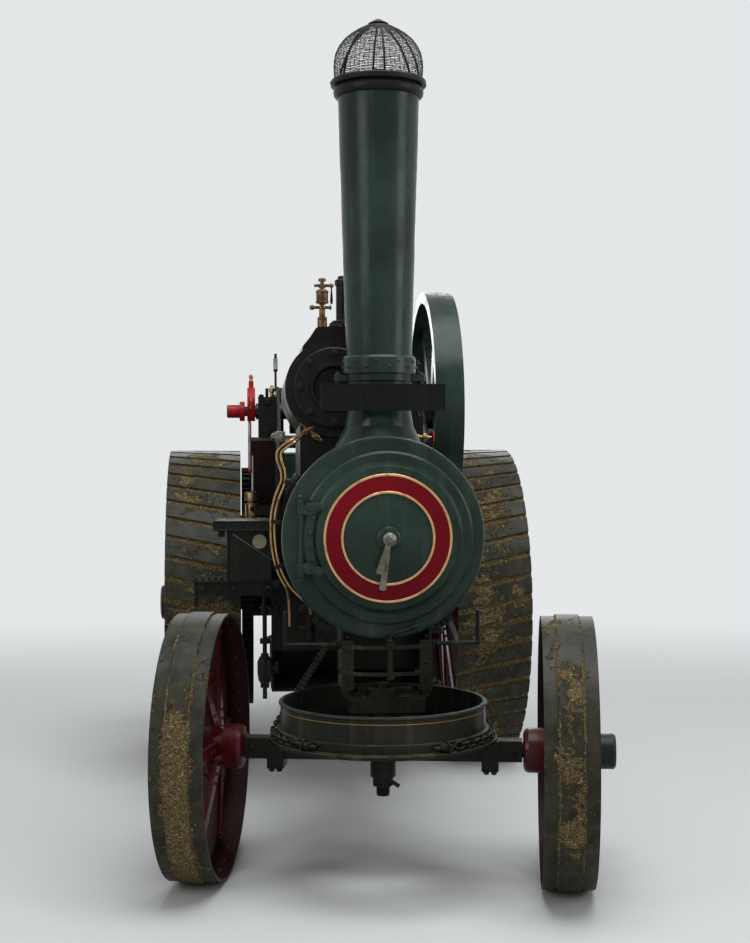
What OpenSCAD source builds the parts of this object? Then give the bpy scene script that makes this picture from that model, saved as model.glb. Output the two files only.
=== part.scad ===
/* [Running gear] */
// Diameter of a front wheel over the plain rim
front_d = 1128; // [1000:2:1240]
// Width of a front rim
front_w = 216; // [180:1:240]
// Width of the raised band round the middle of a front rim
band_w = 96; // [60:1:120]
// Height of the raised band above the front rim
band_h = 8; // [4:1:12]
// Distance between the middles of the two front wheels
front_track = 1548; // [1500:2:1600]
// Number of spokes in a front wheel
front_spokes = 12; // [8:2:16]
// Diameter of a rear wheel over the strakes
rear_d = 1829; // [1780:1:1880]
// Width of a rear rim
rear_w = 415; // [380:1:430]
// Distance between the middles of the two rear wheels
rear_track = 1618; // [1610:2:1660]
// Number of spokes in a rear wheel
rear_spokes = 16; // [12:4:20]
// Number of strakes round a rear wheel
strake_n = 48; // [36:4:52]
// Width of a strake, along the tread
strake_w = 84; // [60:1:88]
// Height of a strake above the rear rim
strake_h = 14; // [8:1:18]
// Angle between a strake and the axle
strake_a = 12.5; // [0:0.5:16]
// Thickness of the rim plates
rim_t = 12; // [8:1:16]
// Distance between the front and the rear axle
wheelbase = 2825; // [2780:5:2860]
// Angle at which the front wheels stand
steer_rest = 9.8; // [0:0.1:14]
// Play between a shaft and its bore, on the radius
pin_play = 0.05; // [0.02:0.01:0.1]
// Gap between moving pieces and what they pass
move_gap = 6; // [5:1:8]

/* [Boiler] */
// Height of the boiler's middle line
boiler_z = 1470; // [1450:5:1490]
// Radius of the boiler barrel over its cladding
barrel_r = 366; // [350:2:372]
// Outer radius of the smokebox
smokebox_r = 400; // [390:2:410]
// Outer radius of the ring on the front of the smokebox
ring_r = 429; // [415:1:440]
// Front face of that ring, measured back from the kingpin
ring_y = -63; // [-80:1:-50]
// Rear end of the smokebox
smokebox_y = 430; // [400:5:440]
// Front of the firebox
firebox_y = 1750; // [1700:10:1780]
// Rear of the firebox
backhead_y = 2440; // [2400:5:2460]
// Height of the firebox's crown above the boiler's middle line
crown_h = 342; // [330:1:346]
// Bottom of the firebox
firebox_z = 760; // [720:5:800]
// Radius of the smokebox door
door_r = 365; // [350:1:372]
// Outer radius of the red ring on the door
door_ring_ro = 270; // [250:1:290]
// Inner radius of the red ring on the door
door_ring_ri = 187; // [170:1:200]
// Height of the door's hinge knuckles above and below its middle
hinge_dz = 121; // [100:1:140]
// Sideways place of the door's middle, away from its hinge
door_x = 14; // [0:1:20]
// Thickness of the red ring on the door
door_ring_t = 7; // [4:1:10]

/* [Chimney] */
// Radius of the flue through the smokebox's top and the chimney base
flue_r = 130; // [110:1:133]
// Radius of the chimney base's neck
neck_r = 138; // [136:1:150]
// Radius of the collar that holds the chimney barrel
collar_r = 158; // [152:1:165]
// Distance of the chimney's middle behind the kingpin
chimney_y = 144; // [130:1:160]
// Height of the joint between chimney base and barrel
chimney_z0 = 2242; // [2200:1:2280]
// Height of the top of the chimney barrel
chimney_z1 = 3351; // [3250:1:3400]
// Radius of the chimney barrel at its foot
chimney_r0 = 142; // [130:1:150]
// Radius of the chimney barrel at its top
chimney_r1 = 176; // [150:1:185]
// Outer radius of the chimney cap
cap_r = 195; // [185:1:205]
// Height of the wire spark arrester's top
arrester_z = 3695; // [3600:5:3740]
// Number of bent strips in the spark arrester, each right across it
arrester_strips = 3; // [2:1:6]

/* [Cylinder and motion] */
// Height of the cylinder and crankshaft
crank_z = 2052; // [2048:1:2070]
// Distance of the crankshaft behind the kingpin
crank_y = 2205; // [2195:1:2220]
// Slope of the cylinder's middle line, down to the rear
motion_a = 2; // [0:0.1:2.5]
// Sideways place of the cylinder, to the engine's right
cyl_x = -180; // [-185:1:-175]
// Front face of the cylinder block
cyl_y0 = 400; // [395:1:430]
// Rear face of the cylinder block
cyl_y1 = 1060; // [1000:5:1080]
// Radius of the cylinder's jacket
jacket_r = 219; // [205:1:222]
// Height of the valve block above the cylinder's jacket
block_h = 83; // [70:1:100]
// Crank throw
throw = 127; // [110:1:130]
// Radius of the crankshaft
shaft_r = 45; // [40:1:46]
// Radius of the connecting rod's big end
big_end_r = 80; // [75:1:82]
// Throw of the valve eccentrics
ecc_throw = 38; // [25:1:42]
// Radius of the valve eccentrics
ecc_r = 92; // [88:1:96]
// Flywheel radius
fly_r = 677; // [640:1:690]
// Flywheel face width
fly_w = 152; // [130:1:154]
// Sideways place of the flywheel's middle
fly_x = 504; // [503:1:515]
// Depth of the flywheel's rim
fly_rim = 65; // [50:1:75]

/* [Frame and tender] */
// Outer faces of the hornplates, half the distance between them
horn_hw = 400; // [396:1:405]
// Thickness of the hornplates
horn_t = 15; // [12:1:18]
// Rear of the tender
tender_y = 3960; // [3850:10:4050]
// Height of the tender's top edge at the back
tender_z = 1800; // [1700:10:1850]
// Height of the footplate's floor
floor_z = 1000; // [990:5:1020]
// Length of the drawbar behind the tender
drawbar_l = 150; // [120:5:180]
// Outer radius of the turntable ring's top
table_r = 437; // [430:1:440]
// Height of the turntable ring's top
table_z = 779; // [770:1:790]
// Height of the steering chains
chain_z = 650; // [645:1:655]
// Sideways place of the perch bracket's middle
perch_x = 13; // [0:1:15]
// Half the width of the perch bracket
perch_hw = 195; // [180:1:200]

/* [Hidden] */
$fn = 96;
front_r = front_d / 2;
rear_r = rear_d / 2;
front_z = front_r + band_h;
rear_z = rear_r;
front_x = front_track / 2;
rear_x = rear_track / 2;
front_end = -front_x * sin(steer_rest) - front_r * cos(steer_rest) - front_w / 2 * sin(steer_rest);
y_shift = -(tender_y + drawbar_l + front_end) / 2;
journal_r = 32;
rear_axle_r = 50;
kingpin_r = 22;
// Length of the connecting rod, which leaves the crosshead its whole stroke behind the cylinder
rod_l = crank_y - cyl_y1 - 3 * throw - 4;
tender_front = wheelbase + rear_axle_r + move_gap;
axle_h = 88;
axle_top = front_z + axle_h / 2;
firebox_hw = horn_hw - horn_t - 1;
// Height of the flat top of the cylinder's jacket
cyl_top = crank_z + (crank_y - 750) * sin(motion_a) + jacket_r + block_h;
pin_x = door_x - door_r;
pin_y = ring_y - 29;
// Distance of the smokebox door's surface in front of the ring, at a radius
function dome(r) = r < 60 ? dome(60) : 56 - 18 * pow(r / 270, 2);
ring_steps = [door_ring_ri, 215, 243, door_ring_ro];
// Outline of the chimney base from its foot up, radius and height
base_shape = [[215, boiler_z + smokebox_r - 90], [205, boiler_z + smokebox_r - 50],
    [192, boiler_z + smokebox_r - 20], [175, boiler_z + smokebox_r + 15],
    [160, boiler_z + smokebox_r + 45], [148, boiler_z + smokebox_r + 70],
    [neck_r, boiler_z + smokebox_r + 133], [neck_r, chimney_z0 - 112]];
// Outline of the spark arrester, radius and share of its height
arrester_shape = [[190, 0], [184, 0.13], [173, 0.28], [154, 0.45], [126, 0.63], [100, 0.73],
    [75, 0.81], [34, 0.91]];
arrester_h = arrester_z - chimney_z1 - 75;
// Places across the engine, x from and to
crank_web = [37, 80];
ecc_fore_x = 52;
ecc_back_x = 128;
pump_x = -539;
pump_throw = 40;
// The gear shafts stand over the rear axle, at the distances at which their teeth meet
third_y = wheelbase + 56;
third_z = rear_z + 702.5;
second_y = third_y - 282;
second_z = third_z + 264;
// The shaft from which the valve gear hangs
lift_y = crank_y - 612;
lift_z = crank_z - 179;
// Outer face of the large gear wheel, beside the right rear wheel
bull_x = -rear_x + rear_w / 2 + move_gap;
bull_boss_r = 90;
// Hole in the smokebox under the chimney's foot
smoke_hole_r = flue_r + 45;
roller_y = firebox_y - 330;
roller_z = boiler_z - 565;

module framed() translate([0, y_shift, 0]) children();
module xcyl(r, x0, x1) translate([x0, 0, 0]) rotate([0, 90, 0]) cylinder(r = r, h = x1 - x0);
module ycyl(r, y0, y1) translate([0, y0, 0]) rotate([-90, 0, 0]) cylinder(r = r, h = y1 - y0);
module zcyl(r, z0, z1) translate([0, 0, z0]) cylinder(r = r, h = z1 - z0);
module box(a, b) translate(a) cube(b - a);
// Turned shape about the x axis, from points of radius and place along x
module turned_x(points) rotate([0, 90, 0]) rotate_extrude() polygon(points);
// Turned shape about the y axis, from points of radius and place along y
module turned_y(points) rotate([-90, 0, 0]) rotate_extrude() polygon(points);
module turned_z(points) rotate_extrude() polygon(points);
// Plate in the plane of y and z, from points, between two places along x
module side_plate(points, x0, x1)
    translate([x0, 0, 0]) rotate([90, 0, 90]) linear_extrude(x1 - x0) polygon(points);
module both_sides() {
    children();
    mirror([1, 0, 0]) children();
}
module at_boiler() translate([0, 0, boiler_z]) children();
module at_crank() translate([0, crank_y, crank_z]) children();
module at_door() at_boiler() translate([door_x, 0, 0]) children();
// The cylinder's middle line, sloping through the crankshaft, with y from the crankshaft
module at_motion() translate([cyl_x, crank_y, crank_z]) rotate([-motion_a, 0, 0]) children();
module at_rear(s) translate([s * rear_x, wheelbase, rear_z]) scale_side(s) children();
module at_front(s)
    translate([0, 0, front_z]) rotate([0, 0, -steer_rest]) translate([s * front_x, 0, 0])
    scale_side(s) children();
module scale_side(s) mirror([s < 0 ? 1 : 0, 0, 0]) children();

// Boiler

module boiler_barrel() color("#10140f") framed() at_boiler() {
    difference() {
        turned_y([[0, smokebox_y], [barrel_r - 6, smokebox_y],
            for (y = [smokebox_y + 30 : (firebox_y - smokebox_y - 110) / 3 : firebox_y - 40])
                each [[barrel_r - 6, y], [barrel_r, y], [barrel_r, y + 50], [barrel_r - 6, y + 50]],
            [barrel_r - 6, firebox_y], [0, firebox_y]]);
    }
}

// Round-topped block from front to back, half as wide as hw and h high over the middle line
module firebox_shape(hw, h, y0, y1, z0)
    translate([0, y1, 0]) rotate([90, 0, 0]) linear_extrude(y1 - y0)
    polygon([[-hw, z0 - boiler_z], [hw, z0 - boiler_z],
        for (a = [0 : 7.5 : 180]) [hw * cos(a), h * sin(a)]]);

module firebox() color("#10140f") framed() at_boiler() difference() {
    union() {
        firebox_shape(firebox_hw, crown_h, firebox_y, backhead_y, firebox_z);
        // Lugs and pin of the firehole door's hinge
        translate([-190, backhead_y, -200]) for (s = [-1, 1])
            box([-13, -10, s * 40 - 7], [13, 27, s * 40 + 7]);
        translate([-190, backhead_y + 14, -200]) zcyl(6, -46, 46);
    }
    box([-290, firebox_y + 90, firebox_z - boiler_z + 40], [290, backhead_y - 90, 40]);
    translate([0, 0, -200]) ycyl(135, backhead_y - 100, backhead_y + 10);
}

module ashpan() color("#151412") framed() difference() {
    w = horn_hw + 36;
    box([-w, firebox_y + 40, firebox_z - 232], [w, backhead_y - 40, firebox_z]);
    box([12 - w, firebox_y + 20, firebox_z - 220], [w - 12, backhead_y - 60, firebox_z - 12]);
}

module firehole_door() color("#151412") framed() at_boiler() translate([0, 0, -200]) difference() {
    union() {
        ycyl(150, backhead_y + 1, backhead_y + 15);
        box([-190, backhead_y + 2, -30], [-100, backhead_y + 20, 30]);
        translate([-190, backhead_y + 14, 0]) zcyl(13, -30, 30);
        box([110, backhead_y + 12, -8], [135, backhead_y + 70, 8]);
    }
    translate([-190, backhead_y + 14, 0]) zcyl(6 + pin_play, -50, 50);
}

// Smokebox and its door

module smokebox() color("#14201a") framed() difference() {
    at_boiler() turned_y([[335, ring_y], [ring_r - 20, ring_y], [ring_r - 8, ring_y + 3],
        [ring_r - 2, ring_y + 9], [ring_r, ring_y + 17], [ring_r, ring_y + 34],
        [smokebox_r, ring_y + 40], [smokebox_r, smokebox_y], [0, smokebox_y], [0, smokebox_y - 20],
        [smokebox_r - 12, smokebox_y - 20], [smokebox_r - 12, ring_y + 34], [335, ring_y + 34]]);
    translate([0, chimney_y, 0]) zcyl(smoke_hole_r, boiler_z + 200, boiler_z + 500);
}

module smokebox_door() color("#14201a") framed() at_door() {
    // The domed middle steps down to a flat rim at its edge
    turned_y([[0, ring_y - 1], [0, ring_y - dome(0)],
        for (r = [60, 120, each ring_steps]) [r, ring_y - dome(r)],
        [door_r - 65, ring_y - 34], [door_r - 58, ring_y - 22], [door_r - 45, ring_y - 16],
        [door_r - 10, ring_y - 15], [door_r, ring_y - 8], [door_r, ring_y - 1]]);
    // Strap along the rim, with the two knuckles that turn on the pin
    rotate([-90, 0, 0]) rotate([0, 0, 153]) rotate_extrude(angle = 54)
        polygon([[door_r - 53, ring_y - 26], [door_r - 15, ring_y - 26], [door_r - 15, ring_y - 12],
            [door_r - 53, ring_y - 12]]);
    for (s = [-1, 1]) translate([-door_r, pin_y, s * hinge_dz]) difference() {
        union() {
            zcyl(13, -20, 20);
            box([0, -9, -20], [58, 13, 20]);
        }
        zcyl(8 + pin_play, -30, 30);
    }
}

module door_ring() color("#8c1c1c") framed() at_door()
    turned_y([for (r = ring_steps) [r, ring_y - dome(r)],
        for (i = [len(ring_steps) - 1 : -1 : 0])
            [ring_steps[i], ring_y - dome(ring_steps[i]) - door_ring_t]]);

module door_handles() color("#9a9a94") framed() at_door() {
    y0 = ring_y - dome(0);
    union() {
        turned_y([[0, y0], [49, y0], [49, y0 - 10], [42, y0 - 16], [28, y0 - 18], [28, y0 - 66],
            [19, y0 - 72], [19, y0 - 84], [10, y0 - 90], [0, y0 - 90]]);
        // Long and short handle, each wider at its end: length, slope, distance from the door
        for (h = [[214, 8, 30], [150, 18, 52]])
            translate([0, y0 - h[2], 0]) rotate([90, 0, 0]) rotate([0, 0, -h[1]])
                linear_extrude(13) polygon([[-9, 10], [9, 10], [14, -h[0] + 6], [9, -h[0]],
                    [-9, -h[0]], [-14, -h[0] + 6]]);
    }
}

module door_hinge() color("#14201a") framed() at_boiler() translate([pin_x, pin_y, 0]) {
    z1 = hinge_dz + 20 + 1;
    union() {
        zcyl(8, -z1 - 30, z1 + 30);
        for (s = [-1, 1])
            box([-14, -13, s * (z1 + 12) - 12], [11, ring_y - pin_y, s * (z1 + 12) + 12]);
    }
}

// Chimney

module chimney_base() color("#14201a") framed() difference() {
    union() {
        translate([0, chimney_y, 0]) turned_z([[0, base_shape[0][1]], each base_shape,
            [150, chimney_z0 - 108], [150, chimney_z0 - 82], [collar_r, chimney_z0 - 76],
            [collar_r, chimney_z0 - 10], [collar_r - 8, chimney_z0], [0, chimney_z0]]);
        // Ears on both sides under the collar
        intersection() {
            translate([0, chimney_y, 0]) zcyl(196, chimney_z0 - 108, chimney_z0 - 82);
            box([-200, chimney_y - 42, chimney_z0 - 110], [200, chimney_y + 42, chimney_z0]);
        }
        // Saddle that lies on the smokebox
        intersection() {
            at_boiler() ycyl(smokebox_r + 14, -300, smokebox_y + 200);
            translate([0, chimney_y, 0]) zcyl(238, boiler_z + 200, boiler_z + 500);
        }
    }
    translate([0, chimney_y, 0]) zcyl(flue_r, boiler_z + 100, chimney_z0 + 10);
    at_boiler() ycyl(smokebox_r, -300, smokebox_y + 200);
    at_boiler() ycyl(ring_r + 1, -300, ring_y + 41);
}

module chimney_barrel() color("#14201a") framed() translate([0, chimney_y, 0])
    turned_z([[chimney_r0 - 6, chimney_z0], [chimney_r0, chimney_z0], [chimney_r1, chimney_z1],
        [chimney_r1 - 6, chimney_z1]]);

module chimney_cap() color("#14201a") framed() translate([0, chimney_y, chimney_z1])
    turned_z([[cap_r - 27, 0], for (a = [-90 : 22.5 : 90]) [cap_r - 14 + 14 * cos(a), 25 + 25 * sin(a)],
        [cap_r - 27, 50]]);

// One side of an arch from the arrester's shape, drawn inwards by a thickness
function arch(t) = [for (p = arrester_shape) [p[0] - t * (1 - 0.6 * p[1]), p[1] * (arrester_h - t)],
    [0, (arrester_h - t) * 0.96]];
function band(t0, t1) = concat(arch(t0), [for (i = [len(arch(t1)) - 1 : -1 : 0]) arch(t1)[i]]);

module arrester_rib() {
    polygon(band(0, 7));
    translate([183, -12]) square([7, 15]);
}

module spark_arrester() color("#161616") framed() translate([0, chimney_y, chimney_z1 + 75]) union() {
    turned_z([[cap_r - 19, -25], [cap_r + 8, -25], [cap_r + 11, -21], [cap_r + 11, -5],
        [cap_r + 8, -0.3], [cap_r - 19, -0.3]]);
    for (i = [0 : arrester_strips - 1]) rotate([0, 0, 33 + i * 180 / arrester_strips])
        rotate([90, 0, 0]) translate([0, 0, -4]) linear_extrude(8) {
            arrester_rib();
            mirror([1, 0]) arrester_rib();
        }
    turned_z([[0, arrester_h - 24], [38, arrester_h - 29], [44, arrester_h - 22],
        [12, arrester_h - 4], [0, arrester_h]]);
}

module spark_mesh() color("#2a2a2a") framed() translate([0, chimney_y, chimney_z1 + 75]) difference() {
    turned_z(band(9, 12));
    zcyl(49, arrester_h - 50, arrester_h + 10);
}

module number_plate() color("#0c0c0c") framed() difference() {
    union() {
        box([-262, -54, 2003], [262, -46, 2116]);
        for (s = [-1, 1]) box([s * 70 - 12, -46, 2035], [s * 70 + 12, 100, 2085]);
    }
    translate([0, chimney_y, 0]) turned_z([[0, base_shape[0][1]], each base_shape,
        [0, base_shape[len(base_shape) - 1][1]]]);
}

// Cylinder and motion

module cylinder_block() color("#121412") framed() difference() {
    y0 = cyl_y0 - crank_y;
    y1 = cyl_y1 - crank_y;
    union() {
        at_motion() ycyl(jacket_r, y0, y1);
        box([-330, cyl_y0 + 60, boiler_z + 250], [230, cyl_y1 - 10, crank_z - 60]);
        at_motion() box([0, y0 + 90, -150], [-cyl_x + 200, y1 - 30, 150]);
        // Valve block with sloping shoulders, on top
        translate([cyl_x + 44, 925, cyl_top]) rotate([90, 0, 0]) linear_extrude(350)
            polygon([[-186, -220], [-176, -90], [-142, -48], [-116, -8], [-104, 0], [104, 0],
                [116, -8], [142, -48], [176, -90], [186, -220]]);
    }
    at_boiler() ycyl(barrel_r, -100, firebox_y);
}

module cylinder_cover() color("#121412") framed() at_motion() {
    // Flange, a raised lip and the sunk middle
    y0 = cyl_y0 - crank_y;
    turned_y([[0, y0], [182, y0], [182, y0 - 24], [176, y0 - 30], [112, y0 - 30], [108, y0 - 37],
        [96, y0 - 37], [91, y0 - 30], [88, y0 - 8], [0, y0 - 6]]);
}

module safety_valve() color("#8a6a2c") framed() translate([cyl_x + 70, 750, cyl_top])
    turned_z([[0, 0], [73, 0], [73, 17], [69, 21], [59, 21], [59, 36], [54, 40], [38, 42], [38, 203],
        [44, 207], [44, 229], [40, 233], [30, 235], [30, 246], [26, 250], [0, 250]]);

module lubricator() color("#b08b3c") framed() translate([cyl_x - 41, 600, cyl_top]) {
    turned_z([[0, 0], [22, 0], [22, 43], [14, 46], [14, 80], [18, 84], [18, 94], [9, 97], [9, 105],
        [27.5, 110], [27.5, 164], [18, 172], [9, 176], [9, 184], [14, 186], [14, 194], [9, 197],
        [9, 207], [18, 210], [18, 220], [14, 223], [0, 223]]);
    // The two cocks' cross bars
    translate([0, 0, 89]) xcyl(7, -50, 37);
    translate([0, 0, 190]) xcyl(7, -37, 46);
}

module slide_bars() color("#6f7270") framed() {
    // Four bars, two above and two below the crosshead's slippers
    y1 = cyl_y1 - crank_y;
    at_motion() for (sx = [-1, 1]) for (sz = [-1, 1])
        box([sx * 70 - 20, y1, sz * 58 - 13], [sx * 70 + 20, y1 + 640, sz * 58 + 13]);
    // Motion bracket, a fork on the boiler that carries the bars' ends
    difference() {
        for (sx = [-1, 1]) translate([cyl_x + sx * 105, cyl_y1 + 585, 0])
            box([-21, 0, boiler_z + 200], [21, 40, crank_z + 110]);
        at_boiler() ycyl(barrel_r, -100, firebox_y);
    }
}

module crosshead() color("#8d8f8c") framed() at_motion() {
    y = -throw - rod_l;
    y1 = cyl_y1 - crank_y;
    union() {
        ycyl(22, y1, y - 90);
        ycyl(44, y1, y1 + 50);
        box([-90, y - 100, -44], [90, y - 60, 44]);
        for (s = [-1, 1]) box([s * 68 - 22, y - 100, -44], [s * 68 + 22, y + 70, 44]);
    }
}

module connecting_rod() color("#8d8f8c") framed() at_motion() translate([0, -throw, 0]) {
    difference() {
        union() {
            xcyl(big_end_r, -34, 34);
            translate([0, -rod_l, 0]) xcyl(46, -20, 20);
            box([-16, -rod_l + 30, -30], [16, -40, 30]);
        }
        xcyl(42 + pin_play, -60, 60);
        translate([0, -rod_l, 0]) xcyl(24, -40, 40);
    }
}

module crankshaft() color("#6a6d6b") framed() at_crank() rotate([-motion_a, 0, 0]) union() {
    difference() {
        xcyl(shaft_r, -505, 590);
        translate([cyl_x, 0, 0]) xcyl(shaft_r + 5, -crank_web[0] - 1, crank_web[0] + 1);
    }
    for (s = [-1, 1]) translate([cyl_x + s * (crank_web[0] + crank_web[1]) / 2, 0, 0]) {
        w = (crank_web[1] - crank_web[0]) / 2;
        box([-w, -throw, -62], [w, 40, 62]);
        translate([0, -throw, 0]) xcyl(62, -w, w);
        translate([0, 40, 0]) xcyl(62, -w, w);
    }
    translate([cyl_x, -throw, 0]) xcyl(42, -crank_web[0] - 2, crank_web[0] + 2);
    for (e = [[ecc_fore_x, 60], [ecc_back_x, -120]])
        translate([e[0], 0, 0]) rotate([e[1], 0, 0])
            translate([0, -ecc_throw, 0]) xcyl(ecc_r - 8, -18, 18);
    // Thin end with the pump's eccentric and the red end cap
    xcyl(28, -600, -490);
    rotate([motion_a, 0, 0]) translate([pump_x, 0, pump_throw]) xcyl(76, -18, 18);
    xcyl(34, -522, -500);
    xcyl(46, -512, -504);
    xcyl(54, -604, -575);
    turned_x([[0, -676], [31, -676], [37, -670], [37, -600], [0, -600]]);
    // Pinion slid out of mesh, and the governor's pulley
    translate([-322, 0, 0]) gear_disc(24, 118, 52, 20);
    xcyl(75, 235, 275);
}

module gear_disc(teeth, r, w, bore, turn = 0) {
    // Straight-toothed wheel along x from 0, with a tooth at the angle turn from +y towards +z
    step = 360 / teeth;
    rotate([turn, 0, 0]) rotate([90, 0, 90]) difference() {
        linear_extrude(w) polygon([for (i = [0 : teeth - 1]) each [
            [(r - 9) * cos((i - 0.25) * step), (r - 9) * sin((i - 0.25) * step)],
            [(r + 9) * cos((i - 0.13) * step), (r + 9) * sin((i - 0.13) * step)],
            [(r + 9) * cos((i + 0.13) * step), (r + 9) * sin((i + 0.13) * step)],
            [(r - 9) * cos((i + 0.25) * step), (r - 9) * sin((i + 0.25) * step)]]]);
        translate([0, 0, -1]) cylinder(r = bore, h = w + 2);
    }
}

module flywheel() color("#151a16") framed() at_crank() translate([fly_x, 0, 0]) {
    h = fly_w / 2;
    difference() {
        union() {
            turned_x([[fly_r - fly_rim, -h], [fly_r - 4, -h], [fly_r, 0], [fly_r - 4, h],
                [fly_r - fly_rim, h]]);
            xcyl(100, -h, h);
            for (i = [0 : 5]) rotate([i * 60 + 20, 0, 0])
                box([-22, -42, 80], [22, 42, fly_r - fly_rim + 12]);
        }
        xcyl(shaft_r, -h - 5, h + 5);
    }
}

module eccentric_rod(length, drop) {
    // Strap round the sheave, rod and eye
    difference() {
        union() {
            xcyl(ecc_r + 14, -18, 18);
            rotate([drop, 0, 0]) {
                box([-10, -length, -17], [10, -80, 17]);
                translate([0, -length, 0]) xcyl(28, -10, 10);
            }
        }
        xcyl(ecc_r - 8 + pin_play, -30, 30);
        rotate([drop, 0, 0]) translate([0, -length, 0]) xcyl(14, -30, 30);
    }
}

module eccentric_rod_fore() color("#55585a") framed() at_crank() translate([ecc_fore_x, 0, 0])
    rotate([60 - motion_a, 0, 0]) translate([0, -ecc_throw, 0]) rotate([motion_a - 60, 0, 0])
    eccentric_rod(560, -9);

module eccentric_rod_back() color("#55585a") framed() at_crank() translate([ecc_back_x, 0, 0])
    rotate([-120 - motion_a, 0, 0]) translate([0, -ecc_throw, 0]) rotate([120 + motion_a, 0, 0])
    eccentric_rod(560, 9);

module valve_gear() color("#55585a") framed() translate([90, crank_y, crank_z])
    rotate([-motion_a, 0, 0]) translate([0, -575, 0]) union() {
    // Curved link, hung from the reversing shaft, and the valve rod in front of it
    difference() {
        translate([0, 700, 0]) xcyl(735, -12, 12);
        translate([0, 700, 0]) xcyl(690, -14, 14);
        box([-20, -50, 120], [20, 1500, 800]);
        box([-20, -50, -800], [20, 1500, -120]);
        box([-20, 200, -801], [20, 1500, 801]);
    }
    box([-12, -72, -22], [12, -12, 22]);
    ycyl(14, cyl_y1 - 30 - (crank_y - 575), -50);
    box([-12, -45, -215], [12, 15, -90]);
    translate([0, -30, -200]) xcyl(22, -horn_hw + horn_t - 90, horn_hw - horn_t - 90);
}

module governor() color("#3a3c3a") framed() translate([140, 1220, boiler_z]) difference() {
    union() {
        zcyl(50, barrel_r - 60, barrel_r + 20);
        zcyl(18, barrel_r, barrel_r + 420);
        zcyl(42, barrel_r + 200, barrel_r + 225);
        translate([0, 0, barrel_r + 400]) sphere(r = 30);
        for (s = [-1, 1]) {
            translate([s * 85, 0, barrel_r + 300]) sphere(r = 38);
            translate([0, 0, barrel_r + 400]) rotate([0, s * 140, 0]) zcyl(7, 0, 130);
        }
    }
    translate([-140, -1220, 0]) ycyl(barrel_r, -100, 3000);
}

// Hornplates, bearings and gearing

horn_shape = [[firebox_y, firebox_z + 30], [wheelbase - 345, firebox_z + 30],
    [wheelbase - 265, firebox_z - 60], [wheelbase + 235, firebox_z - 60],
    [wheelbase + 235, third_z - 130], [second_y + 200, second_z], [second_y + 120, second_z + 120],
    [crank_y + 195, crank_z + 133], [crank_y - 165, crank_z + 133], [crank_y - 275, crank_z + 48],
    [lift_y + 60, lift_z + 50], [lift_y - 50, lift_z + 50], [lift_y - 50, lift_z - 50],
    [firebox_y, lift_z - 150]];

module hornplates() color("#14201a") framed() {
    difference() {
        both_sides() side_plate(horn_shape, horn_hw - horn_t, horn_hw);
        at_crank() xcyl(75, -500, 500);
        translate([0, second_y, second_z]) xcyl(38, -500, 500);
        translate([0, third_y, third_z]) xcyl(38, -500, 500);
        translate([0, wheelbase, rear_z]) xcyl(rear_axle_r, -500, 500);
    }
    // Angle iron down the right plate's front edge
    box([-horn_hw - 38, firebox_y + 5, firebox_z + 3], [-horn_hw + 5, firebox_y + 17, boiler_z - 365]);
}

module crank_bearings() color("#3a3c3a") framed() {
    at_crank() for (s = [-1, 1]) difference() {
        union() {
            box([s > 0 ? horn_hw : -499, -95, -150], [s > 0 ? 422 : -horn_hw, 95, 78]);
            xcyl(75, s > 0 ? 335 : -420, s > 0 ? 420 : -horn_hw + horn_t);
            translate([s > 0 ? 411 : -450, 0, 0]) zcyl(9, 70, 130);
        }
        xcyl(shaft_r + pin_play, -520, 520);
    }
    // Arm on the right hornplate, for the feed pump
    difference() {
        box([pump_x + 30, crank_y - 25, 1465], [-horn_hw, crank_y + 25, 1515]);
        translate([pump_x, crank_y, 0]) zcyl(37.3, 1400, 1600);
    }
}

module gear_shafts() color("#3f4143") framed() {
    // Second shaft, high, and third shaft, low, each with its wheel and pinion
    a = atan2(third_z - second_z, third_y - second_y);
    b = atan2(rear_z - third_z, wheelbase - third_y);
    translate([0, second_y, second_z]) difference() {
        union() {
            xcyl(38, -480, 425);
            translate([-horn_hw + horn_t + 2, 0, 0]) gear_disc(62, 310, 30, 30);
            translate([-470, 0, 0]) gear_disc(20, 98, 62, 30, a);
        }
        for (i = [0 : 4]) rotate([i * 72, 0, 0]) translate([-400, 0, 175]) xcyl(66, 0, 120);
    }
    translate([0, third_y, third_z]) difference() {
        union() {
            xcyl(38, bull_x, 425);
            translate([-470, 0, 0]) gear_disc(60, 288, 60, 30, a + 180 + 3);
            translate([bull_x, 0, 0]) gear_disc(20, 98, 66, 30, b);
        }
        for (i = [0 : 4]) rotate([i * 72, 0, 0]) translate([-480, 0, 170]) xcyl(62, 0, 80);
    }
}

module gear_guard() color("#2a0d0f") framed() side_plate([
    [second_y - 128, rear_z + 522], [second_y - 124, rear_z + 522], [second_y - 124, second_z + 4],
    [second_y - 114, second_z + 22], [second_y - 116, second_z + 26], [second_y - 128, second_z + 6]],
    -horn_hw - 148, -horn_hw);

module rear_axle() color("#2c2c2c") framed() translate([0, wheelbase, rear_z]) union() {
    xcyl(rear_axle_r, -rear_x - 230, rear_x + 230);
    xcyl(bull_boss_r, horn_hw, rear_x - rear_w / 2 - move_gap);
    xcyl(bull_boss_r, bull_x, -horn_hw);
}

module bull_gear() color("#2c2c2c") framed() translate([0, wheelbase, rear_z]) difference() {
    // Large gear wheel on the axle's boss
    b = atan2(rear_z - third_z, wheelbase - third_y);
    translate([bull_x, 0, 0]) gear_disc(120, 606, 66, bull_boss_r, b + 180 + 1.5);
    for (i = [0 : 5]) rotate([i * 60 + 10, 0, 0]) translate([-600, 0, 350]) xcyl(150, 0, 150);
}

// Wheels, drawn with the outside of the engine towards +x

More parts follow.
